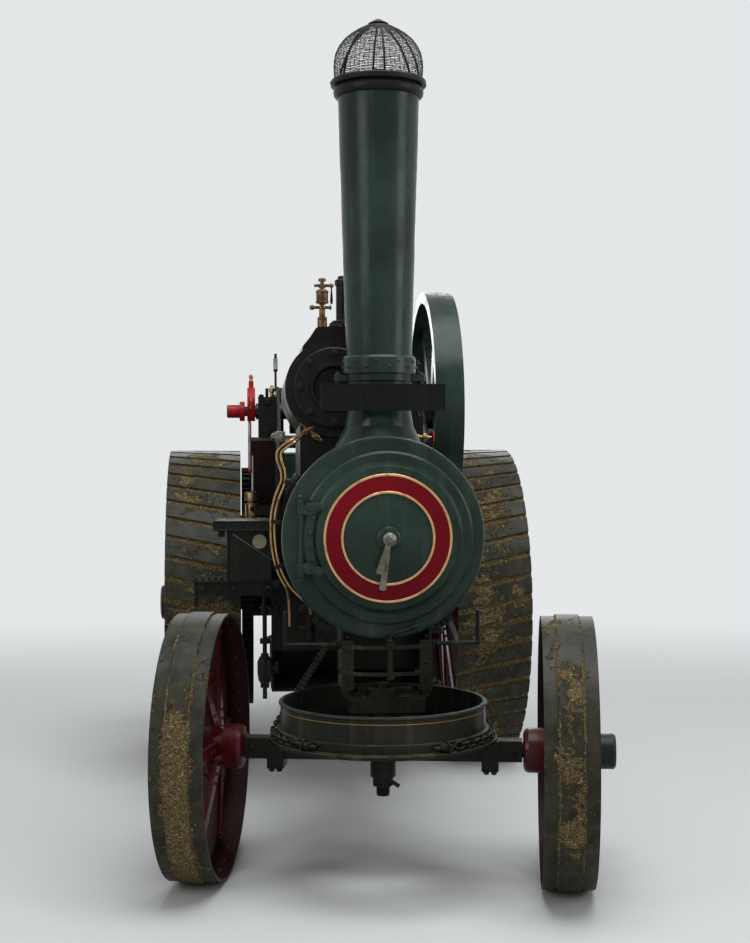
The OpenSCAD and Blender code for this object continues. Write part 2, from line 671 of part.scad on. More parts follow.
module rear_rim(lean) {
    h = rear_w / 2;
    ro = rear_r - strake_h;
    ri = ro - rim_t;
    union() {
        turned_x([[ri, -h], [ro, -h], [ro, h], [ri, h], [ri, 108], [ri - 62, 108], [ri - 62, 88],
            [ri, 88], [ri, -88], [ri - 62, -88], [ri - 62, -108], [ri, -108]]);
        intersection() {
            turned_x([[ro - 6, -h], [rear_r, -h], [rear_r, h], [ro - 6, h]]);
            for (i = [0 : strake_n - 1]) rotate([i * 360 / strake_n, 0, 0])
                translate([0, 0, -ro]) rotate([0, 0, lean * strake_a])
                box([-h * 1.1, -strake_w / 2, -40], [h * 1.1, strake_w / 2, 30]);
        }
    }
}

module rear_hub() difference() {
    h = rear_w / 2;
    ri = rear_r - strake_h - rim_t;
    union() {
        turned_x([[0, -h], [150, -h], [150, -h + 60], [120, -h + 70], [120, h - 70], [150, h - 60],
            [150, h + 10], [105, h + 24], [100, h + 58], [80, h + 66], [0, h + 66]]);
        for (i = [0 : rear_spokes - 1]) rotate([i * 360 / rear_spokes, 0, 0]) {
            s = i % 2 == 0 ? 1 : -1;
            translate([s * (h - 36), 0, 100]) rotate([0, -s * atan((h - 148) / (ri - 127)), 0])
                box([-8, -38, 0], [8, 38, ri - 118]);
        }
    }
    turned_x([[ri - 62, -108], [ri + 5, -108], [ri + 5, -88], [ri - 62, -88]]);
    turned_x([[ri - 62, 88], [ri + 5, 88], [ri + 5, 108], [ri - 62, 108]]);
    xcyl(rear_axle_r + pin_play, -h - 10, 232);
}

module front_rim() {
    h = front_w / 2;
    b = band_w / 2;
    ri = front_r - rim_t;
    turned_x([[ri, -h], [front_r, -h], [front_r, -b], [front_r + band_h, -b],
        [front_r + band_h, b], [front_r, b], [front_r, h], [ri, h], [ri, 12], [ri - 50, 12],
        [ri - 50, -12], [ri, -12]]);
}

module front_hub() difference() {
    h = front_w / 2;
    ri = front_r - rim_t;
    union() {
        turned_x([[0, -h - 73], [74, -h - 73], [88, -h - 66], [94, -h - 52], [94, -h + 10], [80, -60],
            [80, 60], [94, h - 20], [94, h], [73, h + 8], [73, h + 86], [66, h + 95], [0, h + 95]]);
        for (i = [0 : front_spokes - 1]) rotate([i * 360 / front_spokes, 0, 0]) {
            s = i % 2 == 0 ? 1 : -1;
            translate([s * 72, 0, 60]) rotate([0, -s * 6.6, 0]) box([-8, -30, 0], [8, 30, ri - 72]);
        }
    }
    turned_x([[ri - 50, -12], [ri + 5, -12], [ri + 5, 12], [ri - 50, 12]]);
    xcyl(journal_r + pin_play, -h - 80, h + 32);
}

module rear_rim_left() color("#6d6f62") framed() at_rear(1) rear_rim(-1);
module rear_rim_right() color("#6d6f62") framed() at_rear(-1) rear_rim(-1);
module rear_hub_left() color("#6b1216") framed() at_rear(1) rear_hub();
module rear_hub_right() color("#6b1216") framed() at_rear(-1) rear_hub();
module front_rim_left() color("#6d6f62") framed() at_front(1) front_rim();
module front_rim_right() color("#6d6f62") framed() at_front(-1) front_rim();
module front_hub_left() color("#6b1216") framed() at_front(1) front_hub();
module front_hub_right() color("#6b1216") framed() at_front(-1) front_hub();

// Front axle and steering

module front_axle() color("#15181a") framed() rotate([0, 0, -steer_rest])
    translate([0, 0, front_z]) difference() {
        union() {
            box([-588, -40, -axle_h / 2], [588, 40, axle_h / 2]);
            zcyl(72, -axle_h / 2, axle_h / 2);
            zcyl(60, 0, 726 - front_z);
            xcyl(journal_r, -front_x - front_w / 2 - 30, front_x + front_w / 2 + 30);
            // Clips round the axle, under the turntable
            for (s = [-1, 1]) box([s * 454 - 36, -54, -axle_h / 2 - 38], [s * 454 + 36, 54, axle_h / 2]);
        }
        zcyl(kingpin_r + pin_play, -200, 200);
    }

module turntable_ring() color("#15181a") framed() rotate([0, 0, -steer_rest]) {
    // Flange, wide band, narrower band and rolled top edge
    turned_z([[330, axle_top], [483, axle_top], [483, axle_top + 13], [table_r + 13, axle_top + 18],
        [table_r + 13, axle_top + 52], [table_r, axle_top + 56], [table_r - 4, table_z - 14],
        [table_r + 4, table_z - 8], [table_r + 2, table_z], [table_r - 14, table_z],
        [table_r - 14, axle_top + 26], [330, axle_top + 14]]);
    // Lugs that hold the chains' ends
    for (s = [-1, 1]) scale_side(s) rotate([0, 0, -50.5])
        box([table_r + 6, -11, chain_z - 12], [table_r + 38, 11, chain_z + 12]);
}

// Outline of the perch bracket's U-shaped strap, moved inwards by t
function perch_u(t) = let (w = perch_hw - 45, z = 825, r = 38 - t) [[t - perch_hw, 1250],
    for (a = [180 : 22.5 : 270]) [r * cos(a) - w, z + r * sin(a)],
    for (a = [270 : 22.5 : 360]) [r * cos(a) + w, z + r * sin(a)], [perch_hw - t, 1250]];

module perch_bracket() color("#15181a") framed() union() {
    w = perch_hw - 4;
    // Radius of the two straps that bow forward between the sides
    bow = (perch_hw * perch_hw + 60 * 60) / 120;
    difference() {
        translate([perch_x, 0, 0]) union() {
            // Strap, with a flange on its front edge and a cross piece behind
            translate([0, 230, 0]) rotate([90, 0, 0]) linear_extrude(280) difference() {
                polygon(perch_u(0));
                polygon([each perch_u(10), [perch_hw - 10, 1300], [10 - perch_hw, 1300]]);
            }
            for (s = [-1, 1]) scale_side(s) box([139, -50, 826], [w, -38, 1250]);
            box([-w, 200, 880], [w, 226, 1250]);
            // Two bowed straps and the pin through both
            for (z = [893, 1005]) translate([0, bow - 110, z]) rotate([0, 0, -90 - asin(w / bow)])
                rotate_extrude(angle = 2 * asin(w / bow)) translate([bow - 10, 0]) square([10, 15]);
            translate([9, -103, 0]) {
                zcyl(12.5, 878, 1034);
                zcyl(21, 1018, 1031);
                zcyl(19, 880, 895);
            }
        }
        at_boiler() ycyl(smokebox_r, -300, 600);
        box([-600, -120, 1036], [600, ring_y + 42, 1300]);
        zcyl(kingpin_r, 700, 900);
    }
    // Rods that stand out on each side, with the reach of each
    for (r = [[1, 403], [-1, 413]]) scale_side(r[0]) {
        translate([0, -20, 1018]) xcyl(9, perch_hw + r[0] * perch_x - 5, r[1] + 9);
        translate([r[1], -20, 0]) zcyl(9, 1010, 1160);
    }
    difference() {
        union() {
            box([perch_x - 162, -60, 732], [perch_x + 162, 120, 790]);
            zcyl(70, 732, 830);
        }
        zcyl(kingpin_r, 700, 900);
    }
}

module kingpin() color("#15181a") framed() {
    z = front_z - axle_h / 2 - 4;
    zcyl(kingpin_r, z - 100, 850);
    zcyl(34, 830, 852);
    // Nut, lock nut and end, below the axle
    turned_z([[0, z - 153], [23, z - 153], [27, z - 148], [27, z - 113], [43, z - 108], [43, z - 75],
        [54, z - 70], [54, z], [0, z]]);
    translate([0, -30, z - 66]) rotate([0, 33, 0]) box([20, -8, -8], [78, 4, 8]);
}

module steering_chains() color("#151515") framed() for (s = [-1, 1]) scale_side(s) {
    // Each chain lies round the ring's side, from its lug back to the roller
    rc = table_r + 28;
    start = -48 - s * steer_rest;
    run = [150 - rc * cos(10), roller_y - rc * sin(10), roller_z - 70.3 - chain_z];
    union() {
        translate([0, 0, chain_z]) rotate([0, 0, start]) rotate_extrude(angle = 11 - start)
            translate([rc - 11, -9]) square([22, 18]);
        translate([rc * cos(10), rc * sin(10), chain_z])
            rotate([0, acos(run[2] / norm(run)), atan2(run[1], run[0])])
            box([-8, -10, 0], [8, 10, norm(run)]);
    }
}

module steering_gear() color("#17191a") framed() {
    // Chain roller under the boiler, carried by two brackets from the firebox
    translate([0, roller_y, roller_z]) union() {
        xcyl(62, -220, 220);
        xcyl(22, -300, 440);
        xcyl(80, 300, 350);
    }
    for (s = [-1, 1]) side_plate([[roller_y - 50, roller_z - 50], [roller_y + 60, roller_z - 60],
        [firebox_y, firebox_z + 40], [firebox_y, firebox_z + 250], [roller_y + 20, roller_z + 60],
        [roller_y - 50, roller_z + 50]], s * 250 - 8, s * 250 + 8);
    // Inclined shaft with its worm, up to the handwheel
    x = horn_hw + 20;
    a = [x, roller_y + 20, roller_z + 100];
    b = [x, tender_y - 670, boiler_z + 170];
    translate(a) rotate([-90 + atan2(b[2] - a[2], b[1] - a[1]), 0, 0]) {
        zcyl(13, -80, norm(b - a) + 10);
        zcyl(38, -60, 60);
        translate([0, 0, norm(b - a)]) {
            rotate_extrude() translate([150, 0]) circle(r = 11, $fn = 24);
            zcyl(28, -15, 15);
            for (i = [0 : 2]) rotate([0, 0, i * 120]) box([-9, 0, -6], [9, 145, 6]);
            translate([0, -150, 0]) zcyl(9, 0, 90);
        }
    }
    for (y = [1900, 2560])
        box([horn_hw, y - 15, a[2] + (y - a[1]) * (b[2] - a[2]) / (b[1] - a[1]) - 55],
            [x + 10, y + 15, a[2] + (y - a[1]) * (b[2] - a[2]) / (b[1] - a[1]) - 10]);
}

// Tender and fittings

module tender() color("#14201a") framed() {
    w = horn_hw - horn_t - 1;
    // Wall between the driver's place and the coal
    inner = tender_y - 600;
    difference() {
        union() {
            side_plate([[tender_front, floor_z - 440], [tender_y, floor_z - 440],
                [tender_y, tender_z], [tender_y - 540, tender_z], [inner, floor_z + 420],
                [tender_front, floor_z + 400]], -w, w);
        }
        // Standing room for the driver, then the coal space
        side_plate([[tender_front - 50, floor_z + 8], [inner - 8, floor_z + 8],
            [inner - 8, tender_z + 50], [tender_front - 50, tender_z + 50]], -w + 8, w - 8);
        side_plate([[inner + 8, floor_z + 8], [tender_y - 8, floor_z + 8],
            [tender_y - 8, tender_z + 50], [inner + 8, tender_z + 50]], -w + 8, w - 8);
        box([-200, inner - 60, floor_z + 250], [200, inner + 40, tender_z + 50]);
    }
    box([-w, backhead_y, floor_z - 8], [w, tender_front + 8, floor_z + 8]);
}

module drawbar() color("#15181a") framed() difference() {
    union() {
        box([-170, tender_y, floor_z - 360], [170, tender_y + 20, floor_z - 180]);
        for (z = [floor_z - 300, floor_z - 240])
            box([-60, tender_y + 10, z - 11], [60, tender_y + drawbar_l, z + 11]);
    }
    translate([0, tender_y + drawbar_l - 55, 0]) zcyl(19, 600, 900);
}

module feed_pump() color("#9a7434") framed() translate([pump_x, crank_y, 0]) {
    // Ram, gland, barrel and foot
    translate([8, 0, 0]) zcyl(8, 1530, 1800);
    zcyl(38, 1548, 1592);
    zcyl(18, 1525, 1550);
    zcyl(37, 1449, 1531);
    zcyl(30, 1436, 1452);
}

module pump_rod() color("#a81c22") framed() translate([pump_x, crank_y, crank_z]) difference() {
    union() {
        translate([0, 0, pump_throw]) xcyl(96, -22, 22);
        box([-16, -14, -330], [-2, 14, -20]);
        translate([0, 0, -330]) xcyl(20, -16, -2);
        translate([0, 0, pump_throw]) zcyl(14, 80, 130);
    }
    translate([0, 0, pump_throw]) xcyl(76 + pin_play, -30, 30);
}

module side_box() color("#0e100f") framed() {
    // It stands in front of the rear wheel, with its lid's lower edge at z
    y = wheelbase - rear_r - 100;
    z = boiler_z - 52;
    union() {
        box([-horn_hw - 272, y - 310, z - 267], [-horn_hw - 40, y - 20, z + 2]);
        // Lid with a rounded end
        box([-horn_hw - 322, y - 330, z], [-horn_hw - 20, y, z + 48]);
        translate([-horn_hw - 322, 0, z + 24]) ycyl(24, y - 330, y);
        // Shelf under the box, and its bracket with a rounded corner
        box([-horn_hw - 446, y - 300, z - 272], [-horn_hw - 42, y - 20, z - 261]);
        box([-horn_hw - 420, y - 290, z - 341], [-horn_hw - 98, y - 278, z - 266]);
        box([-horn_hw - 100, y - 290, z - 311], [-horn_hw - 68, y - 278, z - 266]);
        translate([-horn_hw - 98, 0, z - 311]) ycyl(30, y - 290, y - 278);
        box([-horn_hw - 300, y - 280, z - 298], [-horn_hw, y - 20, z - 267]);
        translate([-horn_hw - 103, 0, z - 56]) ycyl(36, y - 322, y - 300);
    }
    box([-horn_hw - 40, y - 110, z - 308], [-horn_hw, y - 20, z - 258]);
}

module pipes() color("#8a5a34") framed() {
    // Drain pipes round the smokebox's right side
    at_boiler() for (r = [smokebox_r + 7.2, smokebox_r + 21.4])
        translate([0, 60, 0]) rotate([90, 0, 0]) rotate([0, 0, 125]) rotate_extrude(angle = 100)
            translate([r, 0]) circle(r = 7, $fn = 24);
}

module controls() color("#2a2c2a") framed() {
    // Regulator, gauge and reversing lever on the backhead and right hornplate
    translate([0, 0, boiler_z]) {
        ycyl(16, backhead_y, backhead_y + 60);
        translate([0, backhead_y + 50, 0]) rotate([0, 30, 0]) box([-9, -6, 0], [9, 6, 170]);
    }
    for (s = [-1, 1]) translate([s * 240, 0, boiler_z + 40]) {
        ycyl(12, backhead_y, backhead_y + 40);
        translate([0, backhead_y + 40, 0]) zcyl(13, -110, 110);
    }
    x = -horn_hw + horn_t + 9;
    y = tender_front + 110;
    box([x, y - 40, floor_z + 180], [x + 12, y + 50, floor_z + 240]);
    translate([x + 12, y, floor_z + 200]) rotate([-6, 0, 0]) box([0, -12, 0], [14, 12, 560]);
}

boiler_barrel();
firebox();
ashpan();
firehole_door();
smokebox();
smokebox_door();
door_ring();
door_handles();
door_hinge();
chimney_base();
chimney_barrel();
chimney_cap();
spark_arrester();
spark_mesh();
number_plate();
cylinder_block();
cylinder_cover();
safety_valve();
lubricator();
slide_bars();
crosshead();
connecting_rod();
crankshaft();
flywheel();
eccentric_rod_fore();
eccentric_rod_back();
valve_gear();
governor();
hornplates();
crank_bearings();
gear_shafts();
gear_guard();
rear_axle();
bull_gear();
rear_rim_left();
rear_rim_right();
rear_hub_left();
rear_hub_right();
front_rim_left();
front_rim_right();
front_hub_left();
front_hub_right();
front_axle();
turntable_ring();
perch_bracket();
kingpin();
steering_chains();
steering_gear();
tender();
drawbar();
feed_pump();
pump_rod();
side_box();
pipes();
controls();
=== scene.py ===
# %% [markdown]
# # A steam traction engine, dressed for its portrait
# The construction model gives every plate, wheel and shaft its place. This lesson adds what a
# visitor at a rally sees: dull green paint, mud on the strakes, rivets, brass cocks and wire net.
# First the construction model comes in.

# %% Load the construction model
import bpy, bmesh, random
from math import atan2, cos, degrees, pi, radians, sin, tan
from mathutils import Matrix, Vector


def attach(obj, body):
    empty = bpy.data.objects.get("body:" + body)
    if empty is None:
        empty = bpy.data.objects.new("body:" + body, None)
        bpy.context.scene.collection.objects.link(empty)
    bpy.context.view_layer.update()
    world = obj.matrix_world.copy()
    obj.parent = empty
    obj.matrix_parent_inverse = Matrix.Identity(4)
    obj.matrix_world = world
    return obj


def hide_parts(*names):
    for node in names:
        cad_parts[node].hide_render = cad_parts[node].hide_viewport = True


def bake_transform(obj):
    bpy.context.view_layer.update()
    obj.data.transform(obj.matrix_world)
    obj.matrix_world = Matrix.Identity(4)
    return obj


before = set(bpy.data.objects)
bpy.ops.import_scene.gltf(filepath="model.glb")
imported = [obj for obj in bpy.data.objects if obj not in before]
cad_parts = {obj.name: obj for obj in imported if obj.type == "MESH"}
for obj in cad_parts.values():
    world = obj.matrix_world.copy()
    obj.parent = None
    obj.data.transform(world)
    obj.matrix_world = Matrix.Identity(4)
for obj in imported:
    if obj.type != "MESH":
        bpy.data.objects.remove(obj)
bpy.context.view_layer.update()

# %% [markdown]
# ## Where things are
# The kingpin, under the smokebox, is the point from which the engine was measured: x to its left,
# y to its back and z up, in metres. Everything that is added later is written from there, so one
# small function turns a place measured that way into the shared frame. The sizes are real ones.

# %% Main places and sizes
SHIFT = -1.70205
BOILER_Z, RING_Y, SMOKE_R, SMOKE_END, BACKHEAD_Y = 1.470, -0.063, 0.400, 0.430, 2.440
CHIMNEY_Y, CHIMNEY_Z0, CHIMNEY_Z1 = 0.144, 2.242, 3.351
CHIMNEY_FOOT_R, CHIMNEY_TOP_R = 0.142, 0.176
CRANK_Y, CRANK_Z, CYL_X, CYL_Y0, CYL_TOP = 2.205, 2.052, -0.180, 0.400, 2.4048
SLOPE, STEER = radians(2.0), radians(9.8)
FRONT_X, FRONT_Z, FRONT_R = 0.774, 0.572, 0.564
REAR_X, REAR_Y, REAR_R = 0.809, 2.825, 0.9145
HORNPLATE_X, TENDER_X, PUMP_X = 0.400, 0.384, -0.539
UP, DOWN, FRONT, BACK, LEFT, RIGHT = (0, 0, 1), (0, 0, -1), (0, -1, 0), (0, 1, 0), (1, 0, 0), (-1, 0, 0)

def place(x, y, z):
    """A point measured from the foot of the kingpin, in the shared frame."""
    return Vector((x, y + SHIFT, z))

def placed(*points):
    """Several measured points in the shared frame."""
    return [place(*p) for p in points]

def by(x, y, z):
    """A step from a point, to the left, back and up."""
    return Vector((x, y, z))

def radial(angle):
    """The direction square to the boiler at an angle in degrees, from the left over the top."""
    return by(cos(radians(angle)), 0, sin(radians(angle)))

FOOT = Matrix.Translation((0, SHIFT, 0))
AXIS = place(0, 0, BOILER_Z)
DOOR = place(0.014, 0, BOILER_Z)
print("front wheels at", place(FRONT_X, 0, FRONT_Z)[:], "rear axle at", place(0, REAR_Y, REAR_R)[:])

# %% [markdown]
# ## A short way to write nodes
# Floor, sky and paints are all made of shader nodes. Adding a node, linking it and writing its
# numbers takes a line each, so one class does this: a method adds a node and gives back what comes
# out of it, and recipes read like sums. A number stays on the node's own socket.

# %% The node class
class Nodes:
    """The node tree of a material or a world, written as a recipe."""
    def __init__(self, owner):
        owner.use_nodes = True
        self.tree = owner.node_tree
        self.tree.nodes.clear()
    def put(self, socket, value):
        if isinstance(value, bpy.types.NodeSocket):
            self.tree.links.new(value, socket)
        else:
            socket.default_value = value
    def add(self, kind, inputs=(), **settings):
        """Adds a node, sets it, and fills its inputs, each named by its label or its number."""
        node = self.tree.nodes.new("ShaderNode" + kind)
        for key, value in settings.items():
            setattr(node, key, value)
        for key, value in dict(inputs).items():
            self.put(node.inputs[key], value)
        return node
    def maths(self, kind, a, b=0.0, clamp=False):
        return self.add("Math", {0: a, 1: b}, operation=kind, use_clamp=clamp).outputs[0]
    def times(self, a, b):
        return self.maths("MULTIPLY", a, b)
    def plus(self, a, b, clamp=False):
        return self.maths("ADD", a, b, clamp)
    def ramp(self, value, low, high, out_low=0.0, out_high=1.0, way="SMOOTHSTEP"):
        return self.add("MapRange", {"Value": value, "From Min": low, "From Max": high, "To Min": out_low,
                                     "To Max": out_high}, interpolation_type=way).outputs["Result"]
    def seen_directly(self):
        """1 where the eye, a mirror or a glass looks at the surface, and 0 for its light on others."""
        ray = self.add("LightPath").outputs
        first = self.plus(ray["Is Camera Ray"], ray["Is Glossy Ray"])
        return self.plus(first, ray["Is Transmission Ray"], clamp=True)
    def blend(self, share, a, b, out):
        """Ends the tree in a mix of two shaders."""
        both = self.add("MixShader", {0: share, 1: a.outputs[0], 2: b.outputs[0]})
        self.add(out, {0: both.outputs[0]})

print("node class ready")

# %% [markdown]
# ## Camera, floor and light
# The picture was taken standing, a little to the engine's right, so the camera is at 1.86 m and
# turned 5 degrees. A plain pale floor and soft lamps show the dark paint better than a field
# would: black paint is seen mostly by what it mirrors, so wide lamps are better than bright ones.

# %% Camera
scene = bpy.context.scene
camera = bpy.data.objects.new("camera", bpy.data.cameras.new("camera"))
scene.collection.objects.link(camera)
camera.location = place(-0.5916, -6.3641, 1.8569)
camera.rotation_euler = (radians(89.0161), radians(0.1363), radians(-5.0346))
camera.data.lens = 57.63
camera.data.sensor_width = 36
camera.data.clip_end = 200
scene.camera = camera
scene.view_settings.view_transform = "Standard"
print("camera at", [round(v, 3) for v in camera.location])

# %% Floor, backdrop and lamps
PALE = (0.78, 0.80, 0.81, 1)
NEAR, FAR = 2.6, 9.5

def pale_floor():
    """A matt floor that keeps the shadow near the engine and runs out into the pale backdrop."""
    material = bpy.data.materials.new("pale_floor")
    n = Nodes(material)
    here = n.add("TexCoord").outputs["Object"]
    away = n.add("VectorMath", {0: here}, operation="LENGTH").outputs["Value"]
    share = n.times(n.ramp(away, NEAR, FAR, way="SMOOTHERSTEP"), n.seen_directly())
    matt = n.add("BsdfDiffuse", {"Color": (0.56, 0.57, 0.565, 1)})
    n.blend(share, matt, n.add("Emission", {"Color": PALE}), "OutputMaterial")
    return material

bm = bmesh.new()
bmesh.ops.create_circle(bm, cap_ends=True, segments=64, radius=80)
mesh = bpy.data.meshes.new("floor")
bm.to_mesh(mesh)
bm.free()
floor = bpy.data.objects.new("floor", mesh)
scene.collection.objects.link(floor)
floor.data.materials.append(pale_floor())

def soft_lamp(name, at, aim, size, watts, colour=(1, 1, 1)):
    """A square soft lamp that looks at a point."""
    data = bpy.data.lights.new(name, "AREA")
    data.shape, data.size, data.energy, data.color = "SQUARE", size, watts, colour
    lamp = bpy.data.objects.new(name, data)
    scene.collection.objects.link(lamp)
    lamp.location = at
    lamp.rotation_euler = (Vector(aim) - Vector(at)).to_track_quat("-Z", "Y").to_euler()

soft_lamp("sky_panel", (0.8, -2.5, 9), (0, 0, 0), 6, 680, (0.96, 0.98, 1))
soft_lamp("left_panel", (-7, -7, 5), (0, -0.5, 1.4), 4, 190)
soft_lamp("right_panel", (8, -5, 4), (0, -0.5, 1.2), 4, 190)
soft_lamp("back_panel", (1, 9, 5), (0, 0, 1.5), 5, 260)

scene.world = bpy.data.worlds.new("pale_sky")
n = Nodes(scene.world)
lit = n.add("Background", {"Color": (0.95, 0.97, 1.0, 1), "Strength": 0.34})
n.blend(n.seen_directly(), lit, n.add("Background", {"Color": PALE}), "OutputWorld")
print("stage set: 1 floor, 4 lamps, pale backdrop")

# %% [markdown]
# ## Finishes
# Each finish is a small recipe of noise patterns in the object's own coordinates. They aren't
# pictures, so a pattern has the same size on every piece and follows it when it turns. The node
# class gets a few methods more for this: patterns, colours that mix, and a bumpy surface.

# %% The recipe class
def rgba(colour):
    """A colour's three numbers with a fourth, or a link as it is."""
    return (*colour, 1) if isinstance(colour, tuple) else colour

class Finish(Nodes):
    """A paint or metal made of shader nodes, read from object coordinates in metres."""
    def __init__(self, name):
        self.material = bpy.data.materials.new(name)
        super().__init__(self.material)
        out = self.add("OutputMaterial")
        self.surface = self.add("BsdfPrincipled")
        self.put(out.inputs[0], self.surface.outputs[0])
        self.here = self.add("TexCoord").outputs["Object"]
    def mapped(self, scale=(1, 1, 1), location=(0, 0, 0), rotation=(0, 0, 0), source=None):
        return self.add("Mapping", {"Vector": source or self.here, "Scale": scale, "Location": location,
                                    "Rotation": rotation}).outputs[0]
    def noise(self, scale, detail=4, rough=0.55, warp=0, where=None):
        return self.add("TexNoise", {"Vector": where or self.here, "Scale": scale, "Detail": detail,
                                     "Roughness": rough, "Distortion": warp}).outputs["Fac"]
    def mix(self, share, a, b):
        return self.add("Mix", {0: share, 6: rgba(a), 7: rgba(b)}, data_type="RGBA").outputs[2]
    def parts(self, vector):
        return self.add("SeparateXYZ", {0: vector}).outputs
    def length(self, a, b):
        """The long side of a right angle with sides a and b."""
        return self.maths("POWER", self.plus(self.times(a, a), self.times(b, b)), 0.5)
    def upward(self):
        """How far the surface looks up, for dust that settles."""
        return self.parts(self.add("NewGeometry").outputs["Normal"])[2]
    def bumpy(self, height, strength, distance, under=None):
        bump = self.add("Bump", {"Strength": strength, "Distance": distance, "Height": height})
        if under:
            self.put(bump.inputs["Normal"], under)
        return bump.outputs[0]
    def done(self, colour, rough, metal, bump, coat=0.0, specular=0.5):
        for key, value in {"Base Color": colour, "Roughness": rough, "Metallic": metal, "Normal": bump,
                           "Coat Weight": coat, "Specular IOR Level": specular}.items():
            self.put(self.surface.inputs[key], value)
        return self.material

print("recipe class ready")

# %% [markdown]
# ### Old paint
# The engine's paint is a green so dark that it passes for black. Under the open sky it isn't one
# colour: rain leaves faint runs, oil darkens it, dust lies on what looks up and fine specks show
# where it is chipped. Each of these has noises of its own size, laid over the base colour.

# %% Painted surfaces
def old_paint(name, base, other, rough, dust, specks, runs, coat=0.0, grit=0.12, shine=0.13,
              soot=None, pits=0.0):
    """Brushed machine paint: two close tones, rain runs, settled dust and specks.

    soot gives a place along the boiler and a distance from its middle: what lies behind the one
    and within the other is black. Pits are small dark spots where heat has lifted the paint.
    """
    f = Finish(name)
    colour = f.mix(f.ramp(f.noise(2.3, 5, 0.6), 0.35, 0.68), base, other)
    fall = f.noise(7.0, 5, 0.6, where=f.mapped((3.2, 3.2, 0.22)))
    pale = tuple(min(1, c * 2.3 + 0.012) for c in other)
    colour = f.mix(f.times(f.ramp(fall, 0.52, 0.74), runs), colour, pale)
    speck = f.times(f.ramp(f.noise(230, 2, 0.6), 0.68, 0.76), f.ramp(f.noise(9, 3), 0.42, 0.66))
    colour = f.mix(f.times(speck, specks), colour, (0.085, 0.082, 0.060))
    if pits:
        pit = f.times(f.ramp(f.noise(120, 3, 0.7), 0.60, 0.68), f.ramp(f.noise(7, 4), 0.35, 0.60))
        colour = f.mix(f.times(pit, pits), colour, (0.0040, 0.0070, 0.0052))
    lies = f.times(f.ramp(f.upward(), 0.25, 1.0), f.ramp(f.noise(16, 5, 0.7), 0.33, 0.7))
    colour = f.mix(f.times(lies, dust), colour, (0.115, 0.098, 0.068))
    dull = f.plus(f.ramp(f.noise(5.5, 5, 0.65), 0.3, 0.75, rough - 0.08, rough + 0.14), f.times(lies, 0.25))
    if soot:
        x, y, z = f.parts(f.mapped(location=tuple(-v for v in place(0, soot[0], BOILER_Z))))
        off = f.length(x, z)
        inside = f.times(f.ramp(y, 0.0, 0.001), f.ramp(off, soot[1], soot[1] + 0.003, 1.0, 0.0))
        colour = f.mix(inside, colour, (0.0060, 0.0054, 0.0048))
        dull = f.maths("MAXIMUM", dull, f.times(inside, 0.85))
    bump = f.bumpy(f.noise(75, 3, 0.5), grit, 0.0012, f.bumpy(f.noise(6, 3), 0.25, 0.004))
    return f.done(colour, dull, 0.0, bump, coat, shine)

# Each line: the two tones, then roughness, dust, specks and runs
GREEN = ((0.0080, 0.0185, 0.0130), (0.0225, 0.0410, 0.0300), 0.25, 0.14, 0.6, 0.20)
green = old_paint("dark_green_paint", *GREEN, shine=0.16)
chimney_green = old_paint("chimney_paint", *GREEN[:4], 1.4, 0.30, shine=0.16, pits=0.85)
smokebox_green = old_paint("smokebox_paint", *GREEN, shine=0.16, soot=(RING_Y + 0.003, 0.388))
door_green = old_paint("smokebox_door_paint", *GREEN, shine=0.16, soot=(RING_Y - 0.002, 0.5))
black = old_paint("black_paint", (0.0048, 0.0052, 0.0045), (0.0105, 0.0110, 0.0092), 0.36, 0.30, 0.7, 0.2)
oily = old_paint("oily_black_iron", (0.0042, 0.0040, 0.0034), (0.0130, 0.0115, 0.0085),
                 0.42, 0.40, 0.6, 0.2, grit=0.35)
olive = old_paint("worn_ring_paint", (0.0062, 0.0070, 0.0044), (0.0200, 0.0200, 0.0120),
                  0.36, 0.45, 1.5, 0.5, grit=0.3)
rough_black = old_paint("rough_sheet_paint", (0.0036, 0.0046, 0.0034), (0.0110, 0.0130, 0.0090),
                        0.34, 0.60, 1.0, 0.4, grit=0.9)
maroon = old_paint("maroon_paint", (0.045, 0.0022, 0.0030), (0.080, 0.0048, 0.0058),
                   0.24, 0.15, 0.9, 0.2, coat=0.05, shine=0.2)
# A darker copy of the maroon paint: painted shade for the gear guard, which stands in shadow
maroon_in_shade = old_paint("shaded_maroon_paint", (0.0075, 0.0016, 0.0016), (0.0140, 0.0028, 0.0026),
                        0.40, 0.2, 0.5, 0.2)
scarlet = old_paint("red_paint", (0.270, 0.0070, 0.0120), (0.360, 0.0130, 0.0180), 0.26, 0.10, 0.4, 0.2)
enamel = old_paint("red_enamel", (0.115, 0.0024, 0.0065), (0.165, 0.0040, 0.0095),
                   0.34, 0.02, 0.5, 0.05, shine=0.08)
cap_blue = old_paint("hub_cap_paint", (0.0105, 0.0190, 0.0185), (0.0220, 0.0350, 0.0320),
                     0.30, 0.20, 0.4, 0.2)
gilt = old_paint("gilt_line", (0.230, 0.125, 0.025), (0.300, 0.175, 0.045), 0.40, 0.15, 0.5, 0.2)
cream = old_paint("cream_disc", (0.150, 0.145, 0.085), (0.230, 0.210, 0.130), 0.45, 0.30, 0.6, 0.4)
plate_black = old_paint("plate_black", (0.0032, 0.0034, 0.0032), (0.0060, 0.0062, 0.0058),
                        0.30, 0.10, 0.3, 0.2)
print("paints:", green.name, black.name, oily.name, maroon.name, scarlet.name, enamel.name)

# %% [markdown]
# ### Bare metal
# Brass and copper are wiped by hand, so they are bright on top and brown where the rag doesn't
# reach. Steel rods have dull patches under a film of oil. A bright metal mixed with its own
# tarnish by a noise gives both, with the roughness following the tarnish.

